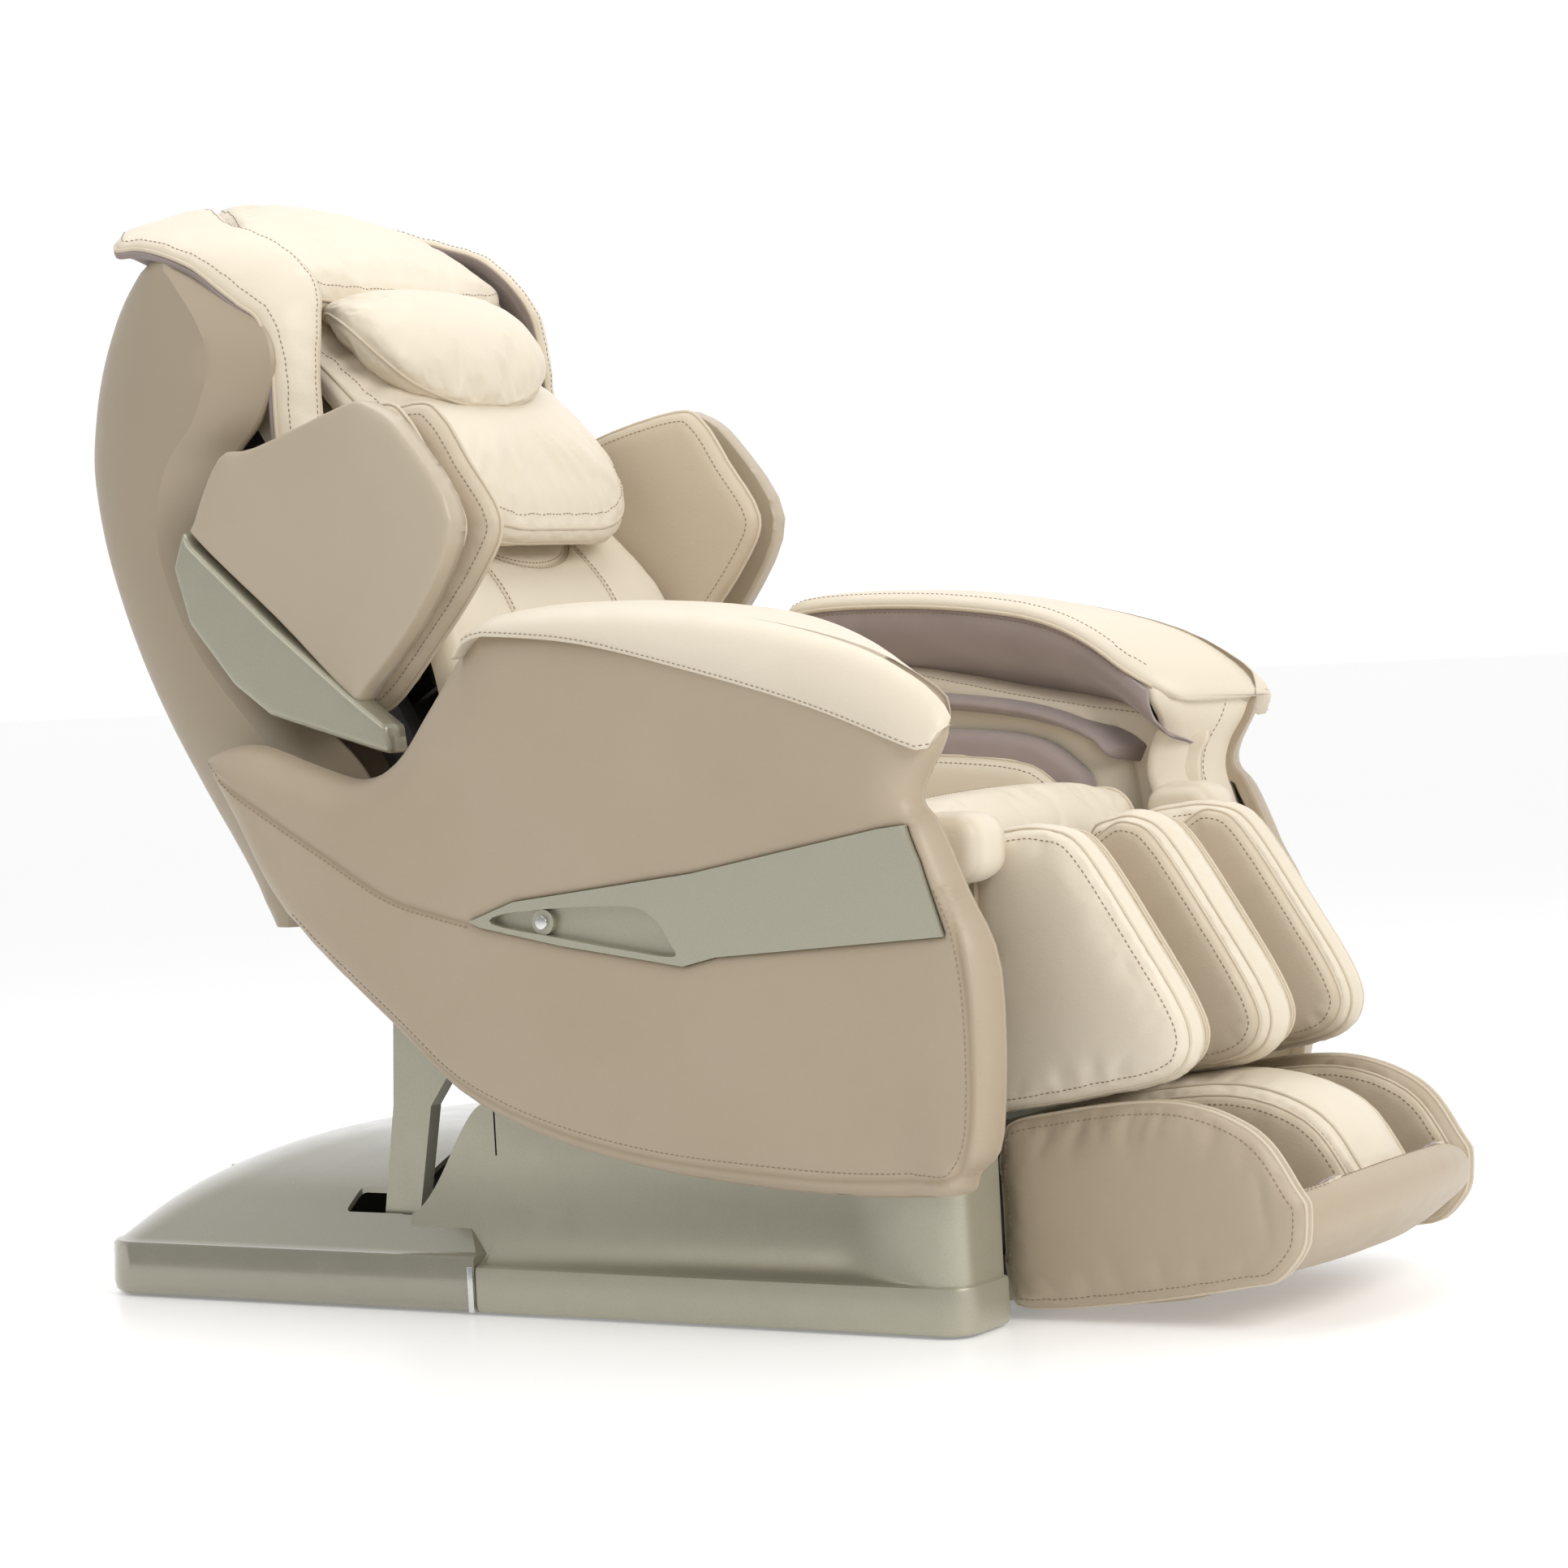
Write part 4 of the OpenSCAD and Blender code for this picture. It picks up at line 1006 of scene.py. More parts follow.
for side, tag in ((1, "left"), (-1, "right")):
    place = slab_place(side)
    y0, y1 = 0.300, abs(face_y("wing_cover_" + tag))
    ring = rims("wing_cover_" + tag, face_y("wing_cover_" + tag))[0]
    ring[:, 0] -= 0.015 * smooth_step(ring[:, 0], -0.42, -0.22)
    cover = Pad("wing_hard_cover_" + tag, ring,
                lambda p, d, phi: (y1 - 0.010 + 0.006 * round_off(d, 0.010)
                                   + 0.005 * np.clip((d - 0.008) / 0.05, 0, 1) ** 0.7),
                dome(y0), LIT_WING_SHELL, place, radius=0.012, step=0.005)
    put(cover.obj, "back", "beige_shell", "wing_cover_" + tag)
    ring = rims("wing_trim_" + tag, face_y("wing_trim_" + tag))[0]
    trim = Pad("wing_trim_form_" + tag, ring,
               dome(y1 - 0.007, 0.005, 0.007, 0.001), dome(y0), CHAMPAGNE, place, radius=0.009, step=0.005)
    put(trim.obj, "back", "champagne", "wing_trim_" + tag)
    inner = abs(face_y("wing_pads_" + tag, False))
    outer = abs(face_y("wing_pads_" + tag))
    mid = (inner + outer) / 2
    for layer, (a, b) in enumerate(((mid + 0.001, outer - 0.001), (inner - 0.002, mid - 0.001))):
        node_y = outer if layer == 0 else inner
        ring = rims("wing_pads_" + tag, side * node_y)[0]
        ring[:, 0] += (0.012 if layer else -0.003) * smooth_step(ring[:, 0], -0.40, -0.22)
        middle, rise = (a + b) / 2, (b - a) / 2 - 0.003
        pad = Pad(f"wing_pad_{tag}_{layer}", ring, dome(middle, rise, 0.024, 0.003),
                  dome(middle, -rise, 0.024, -0.003), SHADE_PALE_LEATHER, place, radius=0.024, pucker=0.0012, seed=3 + layer)
        put(pad.obj, "back", "beige_leather", *(["wing_pads_" + tag] if layer else []), fill=0.7)
        pipe("back", pad.rim(), 0.0026)
        stitch("back", pad.obj, pad.rim(0.011, back=True), True)
        stitch("back", pad.obj, pad.rim(0.011), True)

# ---- Side panels, their inserts and the arms ----

# Seams of the side panel and the arm top, as X and Z
REAR_SEAM = [(-0.474, 0.580), (-0.388, 0.528), (-0.315, 0.485), (-0.233, 0.439), (-0.172, 0.421),
             (-0.134, 0.412)]
HEM_SEAM = [(-0.370, 0.413), (-0.240, 0.312), (-0.140, 0.236), (0.028, 0.181), (0.250, 0.158), (0.395, 0.161)]
FRONT_SEAM = [(0.421, 0.440), (0.438, 0.398), (0.447, 0.321), (0.443, 0.215), (0.424, 0.168), (0.395, 0.161)]
ARM_SEAM = [(-0.137, 0.706), (0.008, 0.693), (0.151, 0.659), (0.289, 0.618), (0.398, 0.575), (0.431, 0.560)]
ARM_REAR, ARM_FRONT = -0.133, 0.426  # ends of the arm top
SHOULDER = 0.338  # Y at which the arm top starts to curve down over the side panel
SLANT, SLANT_Y = 0.60, 0.350  # how much the arm's front stands back for each metre inward of SLANT_Y


def side_panel(side, tag):
    node = "side_panel_" + tag
    y_in, y_out = abs(face_y(node, False)), abs(face_y(node))
    ring = np.array(rims(node, side * y_in)[0])
    at_tip = (ring[:, 1] > 0.56) & (ring[:, 1] < 0.64)
    ring[at_tip, 0] = np.minimum(ring[at_tip, 0], ARM_FRONT - 0.006 - 9 * (ring[at_tip, 1] - 0.603) ** 2)
    hole = rims(node, side * y_out)[1]

    def front(p, d, phi):
        x, z = p[:, 0], p[:, 1]
        top = smooth_step(z, 0.55, 0.63) * smooth_step(x, -0.20, -0.12)
        edge = smooth_step(x, 0.36, 0.41) * (1 - smooth_step(z, 0.52, 0.56))
        radius = 0.040 + 0.036 * top - 0.022 * edge
        rim = 0.006 * (1 - top)
        y = y_in + rim + (y_out - y_in - rim) * round_off(d, radius)
        y -= 0.010 * np.clip((0.34 - z) / 0.19, 0, 1) ** 1.6 * (1 - edge)
        near = nearest(p, even(hole, 0.006, True))[0]
        y -= 0.0035 * np.exp(-near / 0.004) + 0.003 * smooth_step(x, 0.36, 0.40) * smooth_step(z, 0.58, 0.60)
        ripple = np.array([noise.noise(Vector((a * 9, 0.3, b * 9))) for a, b in p])
        return y + 0.0010 * ripple

    pad = Pad("side_leather_" + tag, ring, front, dome(y_in), SHADE_BEIGE_LEATHER, slab_place(side),
              radius=0.040, holes=[hole], groove=0.0016, grid=0.010,
              lines=[spline(seam) for seam in (REAR_SEAM, HEM_SEAM, FRONT_SEAM)])
    put(pad.obj, "seat", "beige_leather", node, fill=0.9)
    tree = tree_of(pad.obj)
    for seam, offset in ((REAR_SEAM, -0.004), (HEM_SEAM, 0.0045), (FRONT_SEAM, -0.0045)):
        run = even(spline(seam), 0.005)
        q = run + left_of(run) * offset
        stitch("seat", tree, pad.place(q[:, 0], q[:, 1], np.full(len(q), y_out)))


def arm_skin(side, tag):
    """Leather over the top and the nose of an arm. Returns the line of the arm's top."""
    panel = rims("side_panel_" + tag, side * abs(face_y("side_panel_" + tag, False)))[0]
    top_line = by_x(panel[(panel[:, 1] > 0.60) & (panel[:, 0] > -0.145)])
    low_line = by_x(panel[(panel[:, 0] > 0.39) & (panel[:, 1] > 0.54) & (panel[:, 1] < 0.602)])
    seam_line = spline(ARM_SEAM, 10)
    ts = [0, 0.004, 0.012, 0.026, 0.045, *np.linspace(0.07, 0.90, 44), 0.93, 0.955, 0.975, 0.99, 1.0]
    sections, inner_edge, seam_edge = [], [], []
    for t in ts:
        x = ARM_REAR + (ARM_FRONT + 0.0015 - ARM_REAR) * t
        zt = height_at(x, top_line)
        zs = min(height_at(x, seam_line), zt - 0.020)
        if x > 0.395:
            zs = max(zs, height_at(x, low_line) - 0.003)
        tip = max(1 - (max(x - 0.365, 0) / 0.0635) ** 2, 0.0) ** 0.22
        front = math.sqrt(1 - (max(x - 0.400, 0) / 0.029) ** 2)
        rear = max(math.sqrt(max(1 - (1 - min(t / 0.075, 1)) ** 2, 0.0)), 0.06)
        nose = math.sqrt(max(1 - max((t - 0.90) / 0.10, 0) ** 2, 0.0))
        y_in = 0.226 + 0.030 * (1 - nose) + 0.02 * (1 - rear)
        zt -= 0.003 * (1 - nose) + 0.006 * (1 - rear)
        zs = min(zs, zt - 0.012)
        span_y = SHOULDER - (y_in + 0.024)
        pts = [(y_in + 0.004, zt - 0.018), (y_in + 0.0005, zt - 0.013), (y_in, zt - 0.009),
               (y_in + 0.003, zt - 0.004), (y_in + 0.010, zt + 0.0005), (y_in + 0.024, zt + 0.0035)]
        pts += [(y_in + 0.024 + span_y * f, zt + 0.0035 + 0.0015 * math.sin(math.pi * f) - 0.0035 * f * f)
                for f in (0.25, 0.5, 0.75)]
        pts += [(SHOULDER + 0.0458 * tip * math.sin(a), zt - (zt - zs) * (1 - math.cos(a)))
                for a in arc(0, 86, 11)]
        pts += [(SHOULDER + y * tip, z) for y, z in
                ((0.0456, zs + 0.0005), (0.0435, zs - 0.0012), (0.039, zs + 0.001), (0.034, zs + 0.003),
                 (0.014, min(zt - 0.024, zs + 0.010)))]
        pts += [(0.320, zt - 0.030), (y_in + 0.03, zt - 0.031), (y_in + 0.008, zt - 0.026)]
        pts = [(y, zt - 0.014 + (z - zt + 0.014) * (rear if z > zt - 0.032 else 1)) for y, z in pts]
        sections.append([(x - set_back(x, y), side * y, zt - 0.016 + (z - zt + 0.016) * front)
                         for y, z in pts])
        inner_edge.append(sections[-1][1])
        seam_edge.append(sections[-1][-7])
    skin = loft("arm_leather_" + tag, sections, IVORY)
    put(skin, "seat", "ivory_leather", "arm_top_" + tag, fill=0.7)
    tree = tree_of(skin)
    edge, seam = np.array(inner_edge), np.array(seam_edge)
    pipe("seat", edge[3:-2] + (0, 0, -0.0005), 0.0025, closed=False)
    stitch("seat", tree, edge[4:-3] + (0, side * 0.012, 0.012))
    stitch("seat", tree, seam[3:-2] + (0, 0, 0.004))

    # The nose, from the front of the top down to the insert
    line = spline([(0.380, height_at(0.380, top_line) - 0.012), (0.406, height_at(0.406, top_line) - 0.014),
                   (0.417, 0.600), (0.411, 0.577), (0.392, 0.547), (0.385, 0.519), (0.392, 0.489),
                   (0.402, 0.455), (0.408, 0.420)], 5)
    n = left_of(line)
    n *= np.sign(n[:, :1].mean())
    sections = []
    for (x, z), (nx, nz) in zip(line, n):
        y0 = 0.262 - 0.024 * smooth_step(z, 0.555, 0.600)
        ring = [(y0, -0.012), (y0 - 0.004, -0.006), (y0, 0.0), (y0 + 0.018, 0.003), (0.310, 0.004),
                (0.336, 0.002), (0.345, -0.003), (0.346, -0.010), (0.320, -0.014)]
        sections.append([(x + nx * h - SLANT * max(SLANT_Y - y, 0), side * y, z + nz * h) for y, h in ring])
    nose_skin = loft("arm_nose_" + tag, sections, IVORY)
    put(nose_skin, "seat", "ivory_leather", fill=0.5)
    stitch("seat", nose_skin, np.array([section[4] for section in sections[4:-3]]))
    return top_line


def set_back(x, y):
    """How far the front of an arm stands back at y, because its nose is slanted towards the sitter."""
    return SLANT * smooth_step((x - ARM_REAR) / 0.552, 0.55, 1.0) * np.maximum(SLANT_Y - y, 0)


def slanted_place(side):
    """Like slab_place, but follows the slant of the arm's front."""
    return lambda a, b, h: np.stack([a - set_back(a, h), side * h, b], 1)


def arm_lining(side, tag, top_line):
    """Lining of a forearm channel, with the flap under it."""
    xs = np.linspace(-0.108, 0.384, 50)
    thick = 0.004
    sections = []
    for x in xs:
        z = height_at(x, top_line)
        face = spline([(0.2285, z - 0.012), (0.229, z - 0.030), (0.238, z - 0.050), (0.258, z - 0.068),
                       (0.282, z - 0.082), (0.298, z - 0.096), (0.3035, z - 0.106)], 4)
        sag = 0.0015 * wave(x, 2.0, 0.11)
        face[:, 0] += sag * np.sin(np.linspace(0, math.pi, len(face)))
        ring = [*face, *(face + left_of(face) * thick)[::-1]]
        reach = [0.026 * smooth_step(x, 0.30, 0.384) * smooth_step(z, 0.53, 0.59) for _, z in ring]
        sections.append([(x - set_back(x, y) + r, side * y, z - r) for (y, z), r in zip(ring, reach)])
    lining = loft("arm_lining_" + tag, sections, TAUPE)
    put(lining, "seat", "taupe_fabric")
    stitch("seat", lining, np.array([(x - set_back(x, 0.2285), side * 0.2285, height_at(x, top_line) - 0.020)
                                     for x in xs[1:-1]]))
    node = "arm_channel_" + tag
    flap = Pad("arm_flap_" + tag, rims(node, side * 0.240)[0], dome(0.292, -0.050, 0.014, -0.002), dome(0.334),
               TAUPE, slanted_place(side), radius=0.010, grid=0.007, step=0.005, walls=6,
               bulge=lambda n: 0.003 * np.maximum(n[:, 1], 0), pucker=0.0008)
    put(flap.obj, "seat", "taupe_fabric", node, fill=0.5)
    low = by_x(flap.rim())
    slices = [low[(low[:, 0] >= x) & (low[:, 0] < x + 0.012)]
              for x in np.arange(low[0, 0], low[-1, 0], 0.012)]
    pipe("seat", np.array([q[q[:, 2].argmin()] for q in slices if len(q)]), 0.0032, "cream", closed=False)


def arm_pads(side, tag):
    """Inner wall of an arm, the cover of the calf rest's hinge and the side pad with its taupe edge."""
    inner = spline([(-0.120, 0.400), (0.120, 0.388), (0.300, 0.360), (0.392, 0.345), (0.412, 0.420),
                    (0.394, 0.490), (0.392, 0.530), (0.404, 0.556), (0.380, 0.580), (0.200, 0.610),
                    (-0.090, 0.640)], 6, True)

    def wall_face(p, d, phi):
        depth = 0.012 + 0.024 * (1 - smooth_step(p[:, 0], 0.26, 0.33))
        return 0.300 - depth * round_off(d, 0.014) - 0.002 * phi

    seam = spline([(0.322, 0.372), (0.328, 0.440), (0.318, 0.520), (0.300, 0.565)], 6)
    wall = Pad("arm_inner_" + tag, inner, wall_face, dome(0.306), IVORY, slanted_place(side), radius=0.014,
               pucker=0.0008, lines=[seam])
    put(wall.obj, "seat", "ivory_leather", fill=0.5)
    gusset = Pad("hinge_cover_" + tag, rounded(0.336, 0.412, 0.440, 0.504, 0.022), dome(0.282, 0.010, 0.014),
                 dome(0.232, -0.012, 0.014), IVORY, slab_place(side), radius=0.014, walls=5,
                 bulge=lambda n: np.full(len(n), 0.003))
    put(gusset.obj, "seat", "ivory_leather", fill=0.6)
    stitch("seat", wall.obj, wall.rim(0.009), True)
    ring = rims("side_pad_" + tag, side * 0.232)[0]
    border = Pad("arm_pad_border_" + tag, ring, dome(0.252, -0.014, 0.016), dome(0.258), TAUPE,
                 slab_place(side), radius=0.016, pucker=0.0006)
    put(border.obj, "seat", "taupe_fabric", fill=0.6)
    ring = anticlockwise(even(ring, 0.006, True))
    inset = ring - outward(ring) * 0.030
    inset = inset[nearest(inset, ring)[0] > 0.028]
    pad = Pad("arm_pad_" + tag, inset, dome(0.240, -0.009, 0.020, -0.004), dome(0.246), IVORY,
              slab_place(side), radius=0.020, pucker=0.0008)
    put(pad.obj, "seat", "ivory_leather", "side_pad_" + tag, fill=0.7)
    pipe("seat", pad.rim(), 0.0022)
    stitch("seat", pad.obj, pad.rim(0.007), True)


for side, tag in ((1, "left"), (-1, "right")):
    side_panel(side, tag)
    arm_lining(side, tag, arm_skin(side, tag))
    trim = softened("trim_" + tag, "side_insert_" + tag, CHAMPAGNE, 0.0014, 3, 12, 11)
    put(trim, "seat", "champagne", "trim_" + tag)
    arm_pads(side, tag)

# ---- Seat ----


def seat():
    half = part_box("seat_cushion")[1].y
    ring = rims("seat_cushion", half)[0]
    pad = Pad("seat_leather", ring, dome(half - 0.030, 0.030, 0.034, 0.002),
              dome(0.030 - half, -0.030, 0.034, -0.002), IVORY, slab_place(1), radius=0.034, walls=26,
              pucker=0.001,
              bulge=lambda n: 0.007 * np.maximum(n[:, 1], 0) + 0.004 * np.maximum(n[:, 0], 0))
    inflate(pad, 0.008, np.vstack([pad.rim(), pad.rim(back=True)]), 0.007)
    put(pad.obj, "seat", "ivory_leather", "seat_cushion", fill=0.8)
    for s in (False, True):
        pipe("seat", pad.rim(back=s), 0.0024)
        stitch("seat", pad.obj, pad.rim(0.010, back=s), True)
    tree = tree_of(pad.obj)
    ys = np.linspace(-half + 0.04, half - 0.04, 60)
    for x, z in ((0.262, 0.508), (0.331, 0.452)):
        stitch("seat", tree, np.stack([np.full(60, x), ys, np.full(60, z)], 1))
    a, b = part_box("seat_flap")
    strip = rounded(a.x, b.x + 0.006, a.z, 0.462, 0.006)
    flap = Pad("seat_lining", strip, dome(half - 0.006, 0.006, 0.006), dome(0.006 - half, -0.006, 0.006),
               TAUPE, slab_place(1), radius=0.006, grid=0.004, step=0.003, walls=20)
    put(flap.obj, "seat", "taupe_fabric", "seat_flap")


seat()


# ---- Back cushion, head pad, pillow and shoulder flaps ----


def back_cushion():
    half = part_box("back_cushion")[1].y
    place, length, thick = bent_place(*edges_of("back_cushion", half))
    ring = rounded(0.0, length, -half, half, [0.06, 0.03, 0.03, 0.06])
    seams = [spline([(length * 0.34, s * 0.112), (length * 0.55, s * 0.100), (length * 0.78, s * 0.104),
                     (length * 0.97, s * 0.122)], 8) for s in (1, -1)]
    pocket = spline([(length * 0.545, -0.096), (length * 0.585, -0.055), (length * 0.60, 0.0),
                     (length * 0.585, 0.055), (length * 0.545, 0.096)], 8)
    pad = Pad("back_leather", ring,
              lambda p, d, phi: (-thick(p[:, 0]) + (2 * thick(p[:, 0]) - 0.004) * round_off(d, 0.030)
                                 + 0.006 * phi),
              lambda p, d, phi: -thick(p[:, 0]), IVORY, place, radius=0.030, lines=seams + [pocket],
              groove=0.0035, pucker=0.0012, grid=0.010)
    put(pad.obj, "back", "ivory_leather", "back_cushion", fill=0.8)
    tree = tree_of(pad.obj)
    for line in seams + [pocket]:
        for k in (-0.004, 0.004):
            stitch("back", tree, pad.trace(line + left_of(line) * k))


def neck_pad():
    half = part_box("neck_pad")[1].y
    place, length, thick = bent_place(*edges_of("neck_pad", half))
    ring = rounded(0.0, length - 0.014, -half, half, [0.030, 0.120, 0.120, 0.030], 12)
    body = lambda p: np.maximum(thick(p[:, 0]), 0.016)
    pad = Pad("neck_leather", ring,
              lambda p, d, phi: body(p) * (0.45 + 0.55 * round_off(d, 0.040)) + 0.010 * phi,
              lambda p, d, phi: -body(p) * (0.28 + 0.72 * round_off(d, 0.040)), IVORY, place, radius=0.042,
              walls=6, bulge=lambda n: np.full(len(n), 0.006), pucker=0.0018, seed=2.0)
    front_rim, back_rim = pad.rim(), pad.rim(back=True)
    inflate(pad, 0.012, np.vstack([front_rim, back_rim]), 0.0055)
    put(pad.obj, "head_pad", "ivory_leather", "neck_pad", fill=0.85)
    tree = tree_of(pad.obj)
    for path in (front_rim, back_rim):
        pipe("head_pad", path, 0.0026)
    stitch("head_pad", tree, pad.rim(0.010), True)


def pillow():
    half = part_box("pillow")[1].y
    place, length, thick = bent_place(*edges_of("pillow", half))
    turn = np.linspace(0, 2 * math.pi, 72, endpoint=False)
    power = lambda v: np.sign(v) * np.abs(v) ** 0.84
    ring = np.stack([length * 0.5 - 0.012 + (length * 0.5 + 0.018) * power(np.cos(turn)),
                     -0.028 + (half - 0.008) * power(np.sin(turn))], 1)
    body = lambda p: np.maximum(thick(p[:, 0]), 0.020)
    pad = Pad("pillow_leather", ring,
              lambda p, d, phi: 0.004 + body(p) * (0.05 + 0.95 * round_off(d, 0.072)) + 0.002 * phi,
              lambda p, d, phi: -body(p) * (0.10 + 0.90 * round_off(d, 0.050)), IVORY, place, radius=0.062,
              pucker=0.0024, seed=5.0, walls=3, grid=0.008)
    rim = pad.rim()
    inflate(pad, 0.010, (rim + pad.rim(back=True)) / 2, 0.005, 5.0, 0.05)
    put(pad.obj, "pillow", "ivory_leather", "pillow", fill=0.9)
    pipe("pillow", (rim + pad.rim(back=True)) / 2, 0.0022)


def top_cover():
    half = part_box("top_cover")[1].y
    place, length, thick = bent_place(*edges_of("top_cover", half))
    ring = spline([(0.050, -0.058), (0.042, 0.0), (0.050, 0.058), (0.120, 0.124), (0.190, half - 0.004),
                   (0.260, half), (length + 0.004, half - 0.004), (length + 0.012, 0.0),
                   (length + 0.004, 0.004 - half), (0.260, -half), (0.190, 0.004 - half), (0.120, -0.124)],
                  5, True)
    pad = Pad("top_leather", ring,
              lambda p, d, phi: -0.014 + (thick(p[:, 0]) + 0.004) * round_off(d, 0.022) + 0.010 * phi,
              lambda p, d, phi: (-thick(p[:, 0]) - 0.004
                                 - 0.034 * smooth_step(p[:, 0], length - 0.090, length - 0.010)),
              IVORY, place, radius=0.022, pucker=0.0016, seed=7.0, walls=3)
    inflate(pad, 0.006, np.vstack([pad.rim(), pad.rim(back=True)]), 0.0055)
    put(pad.obj, "head_pad", "ivory_leather", "top_cover", fill=0.8)
    pipe("head_pad", pad.rim(), 0.0024)
    stitch("head_pad", pad.obj, pad.rim(0.009), True)


def shoulder_flap(side, tag):
    node = "shoulder_flap_" + tag
    y0, y1 = abs(face_y(node, False)), abs(face_y(node))
    place, length, thick = bent_place(*edges_of(node, side * y1))
    outline = np.array([(0.088, y1 - 0.006), (0.020, 0.170), (-0.004, 0.085), (0.030, 0.074), (0.112, 0.136),
                        (0.185, y0 + 0.001), (0.300, y0 + 0.002), (0.360, 0.204), (0.420, 0.213),
                        (length + 0.050, 0.216), (length + 0.052, 0.253), (0.400, 0.256), (0.330, 0.264),
                        (0.250, 0.279), (0.130, y1 + 0.001)])
    ring = spline(outline * (1, side), 6, True)

    def rise(p):
        over = np.clip((np.abs(p[:, 1]) - 0.14) / 0.14, 0, 1.2) ** 2
        return (0.014 * smooth_step(-np.abs(p[:, 1]), -0.200, -0.110) + 0.006
                - (0.030 + 0.038 * smooth_step(p[:, 0], 0.12, 0.32)) * over)

    pad = Pad("flap_leather_" + tag, ring,
              lambda p, d, phi: (0.002 + (thick(p[:, 0]) - 0.002) * round_off(d, 0.018) + 0.003 * phi
                                 + rise(p)),
              lambda p, d, phi: 0.001 + rise(p), IVORY, place, radius=0.018, pucker=0.0016, seed=4.0)
    put(pad.obj, "back", "ivory_leather", node, fill=0.7)
    pipe("back", pad.rim(), 0.0024)
    stitch("back", pad.obj, pad.rim(0.008), True)
    ring = anticlockwise(even(ring, 0.006, True))
    under = Pad("flap_lining_" + tag, ring + outward(ring) * 0.002,
                lambda p, d, phi: 0.001 + rise(p),
                lambda p, d, phi: (-0.001 - 0.008 * round_off(d, 0.010) - 0.026 * smooth_step(d, 0.010, 0.050)
                                   + rise(p)),
                TAUPE, place, radius=0.014, pucker=0.0012, seed=1.0)
    put(under.obj, "back", "taupe_fabric", fill=0.5)


back_cushion()
neck_pad()
pillow()
top_cover()
for side, tag in ((1, "left"), (-1, "right")):
    shoulder_flap(side, tag)

# ---- Calf rest and footrest ----


def ridge(name, node, y0, y1, outline, body, crown, r, slot="ivory_leather", mat=IVORY):
    """Upholstered ridge: a slab from y0 to y1 with rounded rims and a crowned top."""
    pad = Pad(name, outline, dome(y1 - r, r, r * 1.3, 0.0015), dome(y0 + r, -r, r * 1.3, -0.0015), mat,
              slab_place(1), radius=r * 1.3, walls=8, pucker=0.0012, seed=y0 * 40,
              bulge=lambda n: crown * np.ones(len(n)))
    inflate(pad, 0.006, np.vstack([pad.rim(), pad.rim(back=True)]), 0.006)
    put(pad.obj, body, slot, node, fill=0.8)
    for back in (False, True):
        pipe(body, pad.rim(back=back), 0.0022)
        stitch(body, pad.obj, pad.rim(0.009, back=back), True)


def air_pad(name, y_wall, y_free, outline, body, node=()):
    """Thin air pad on a wall, piped round its rim."""
    grow = y_free - y_wall
    pad = Pad(name, outline,
              lambda p, d, phi: y_wall + grow * (0.35 + 0.65 * round_off(d, 0.016)) + grow * 0.15 * phi,
              dome(y_wall), SHADE_PALE_LEATHER, slab_place(1), radius=0.016,
              pucker=0.0012, seed=y_wall * 60)
    put(pad.obj, body, "beige_leather", *node, fill=0.5)
    pipe(body, pad.rim(), 0.0020)
    stitch(body, pad.obj, pad.rim(0.008), True)


def air_pads(kind, body, walls):
    """The thin pads on both walls of both wells. The first one stands for the CAD node of all four."""
    node = kind + "_pads"
    outline = rims(node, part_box(node)[1].y)[0]
    nodes = [node]
    for side in (1, -1):
        for wall, free in walls:
            air_pad(f"{kind}_air_pad_{side}_{wall:.2f}", side * wall, side * free, outline, body, nodes)
            nodes = []


def calf_rest():
    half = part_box("calf_mid")[1].y
    outline = rims("calf_mid", half)[0]
    ridge("calf_ridge_mid", "calf_mid", -half, half, outline, "legrest", 0.006, 0.014)
    for side, tag in ((1, "left"), (-1, "right")):
        a, b = sorted((face_y("calf_side_" + tag, False), face_y("calf_side_" + tag)))
        wide = outline.copy()
        wide[:, 0] -= 0.045 * (1 - smooth_step(wide[:, 0], 0.393, 0.470))
        ridge("calf_ridge_" + tag, "calf_side_" + tag, a, b, wide, "legrest", 0.005, 0.013)
    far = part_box("calf_pads")[1].y
    air_pads("calf", "legrest", ((far, far - 0.015), (half + 0.001, half + 0.016)))
    put(softened("calf_pan", "calf_board", SHADE_BEIGE_LEATHER, 0.004, 3), "legrest", "beige_leather", "calf_pan")


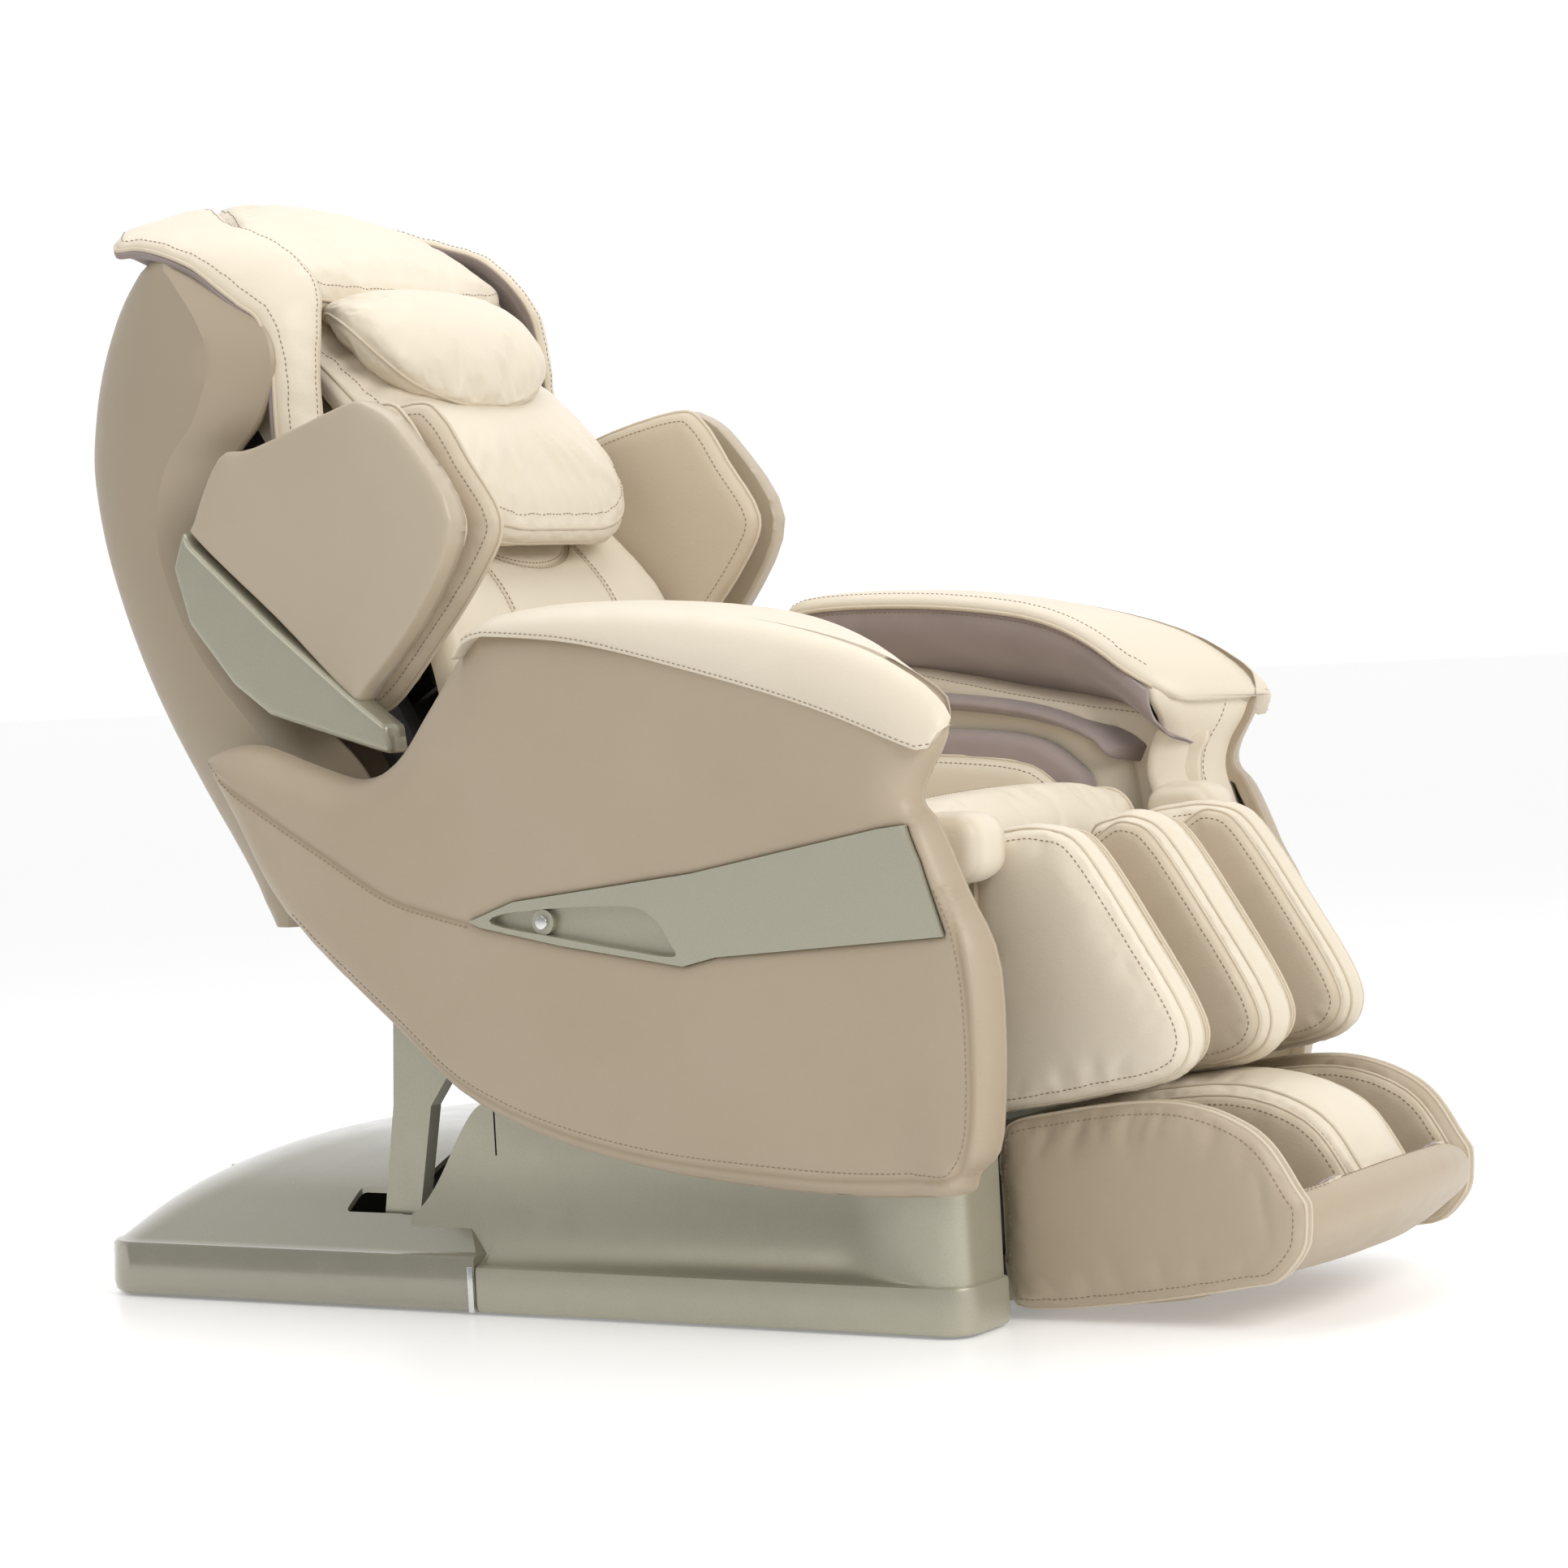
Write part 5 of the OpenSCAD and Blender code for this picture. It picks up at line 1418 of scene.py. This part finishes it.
def footrest():
    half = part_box("foot_mid")[1].y
    outline = rims("foot_mid", half)[0]
    ridge("foot_ridge_mid", "foot_mid", -half, half, outline, "footrest", 0.006, 0.014)
    base_ring = rims("foot_base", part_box("foot_base")[1].y)[0]
    top = by_x(outline[outline[:, 1] > 0.118])
    under = base_ring[(base_ring[:, 1] < 0.075) & (base_ring[:, 0] < 0.69)]
    under = under[np.argsort(-under[:, 0])]
    side_ring = spline([*top, (0.703, 0.100), (0.698, 0.078), *under, (0.378, 0.060), (0.378, 0.120)], 3, True)
    for side, tag in ((1, "left"), (-1, "right")):
        a, b = sorted((face_y("foot_side_" + tag, False), face_y("foot_side_" + tag)))
        ridge("foot_panel_" + tag, "foot_side_" + tag, a, b, side_ring, "footrest", 0.003, 0.011,
              "beige_leather", SHADE_BEIGE_LEATHER)
    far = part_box("foot_pads")[1].y
    air_pads("foot", "footrest", ((far + 0.0005, far - 0.010), (half + 0.001, half + 0.0115)))
    sections = []
    lo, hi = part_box("foot_base")
    for y in np.linspace(-1, 1, 41):
        front = hi.x - 0.030 + 0.040 * (1 - abs(y) ** 2.2)
        rim = 1 - abs(y) ** 14
        top = 0.126 + 0.014 * (1 - y * y)
        ring = spline([(0.640, 0.086), (0.672, 0.104), (front - 0.030, top), (front - 0.010, top - 0.004),
                       (front - 0.001, top - 0.022), (front - 0.008, top - 0.046), (front - 0.052, 0.053),
                       (0.600, 0.031), (0.530, 0.020), (0.402, 0.011), (0.383, 0.026), (0.380, 0.070),
                       (0.400, 0.079), (0.600, 0.079)], 4, True)
        mid = np.array([0.560, 0.060])
        ring = mid + (ring - mid) * (0.975 + 0.025 * rim)
        half_y = 0.205 if abs(y) < 1 else 0.203
        wide = [half_y + 0.011 * smooth_step(x, 0.690, 0.712) for x, z in ring]
        sections.append([(x, w * y, z) for (x, z), w in zip(ring, wide)])
    sole = loft("foot_body", sections, SHADE_BEIGE_LEATHER)
    put(sole, "footrest", "beige_leather", "foot_base", fill=0.8)
    for k, y in enumerate((0.180, -0.180)):
        tube = [[(0.362 + 0.008 * math.cos(a), y + 0.008 * math.sin(a), z)
                 for a in np.linspace(0, 2 * math.pi, 24, False)] for z in (0.060, 0.200, hi.z)]
        put(loft(f"foot_rod_{k}", tube, STEEL), "footrest", "steel")
        bracket = box_mesh((0.352, y - 0.012, 0.040), (0.386, y + 0.012, 0.060), 0.001)
        bracket.name = f"foot_bracket_{k}"
        bracket.data.materials.append(STEEL)
        put(bracket, "footrest", "steel")
    tree = tree_of(sole)
    ys = np.linspace(-0.195, 0.195, 80)
    for x in (0.684, 0.690):
        stitch("footrest", tree, np.stack([x + 0.022 * (1 - (ys / 0.21) ** 2), ys, np.full(80, 0.15)], 1))
    for c in (-0.124, 0.124):
        well = [(0.634 + 0.062 * math.sin(t), c + 0.056 * math.cos(t), 0.10 + 0.036 * math.sin(t) ** 2)
                for t in np.linspace(0, math.pi, 24)]
        pipe("footrest", np.array(well), 0.0032, "taupe", closed=False)
        pipe("footrest", np.array(well) + (0.006, 0, 0.001), 0.0024, closed=False)


calf_rest()
footrest()

# ---- Seams and floor ----

for (body, kind), (verts, faces, _) in sewn.items():
    mat, slot = {"stitching": (THREAD, "taupe_fabric"), "taupe": (TAUPE, "taupe_fabric"),
                 "cream": (IVORY, "ivory_leather")}.get(kind, (SHADE_PALE_LEATHER, "beige_leather"))
    obj = build(f"{kind}_{body}", np.vstack(verts), faces, mat, weld=0)
    put(obj, body, slot)

bpy.ops.mesh.primitive_plane_add(size=80)
floor = bpy.context.active_object
floor.name = "floor"
floor.data.materials.append(FLOOR)
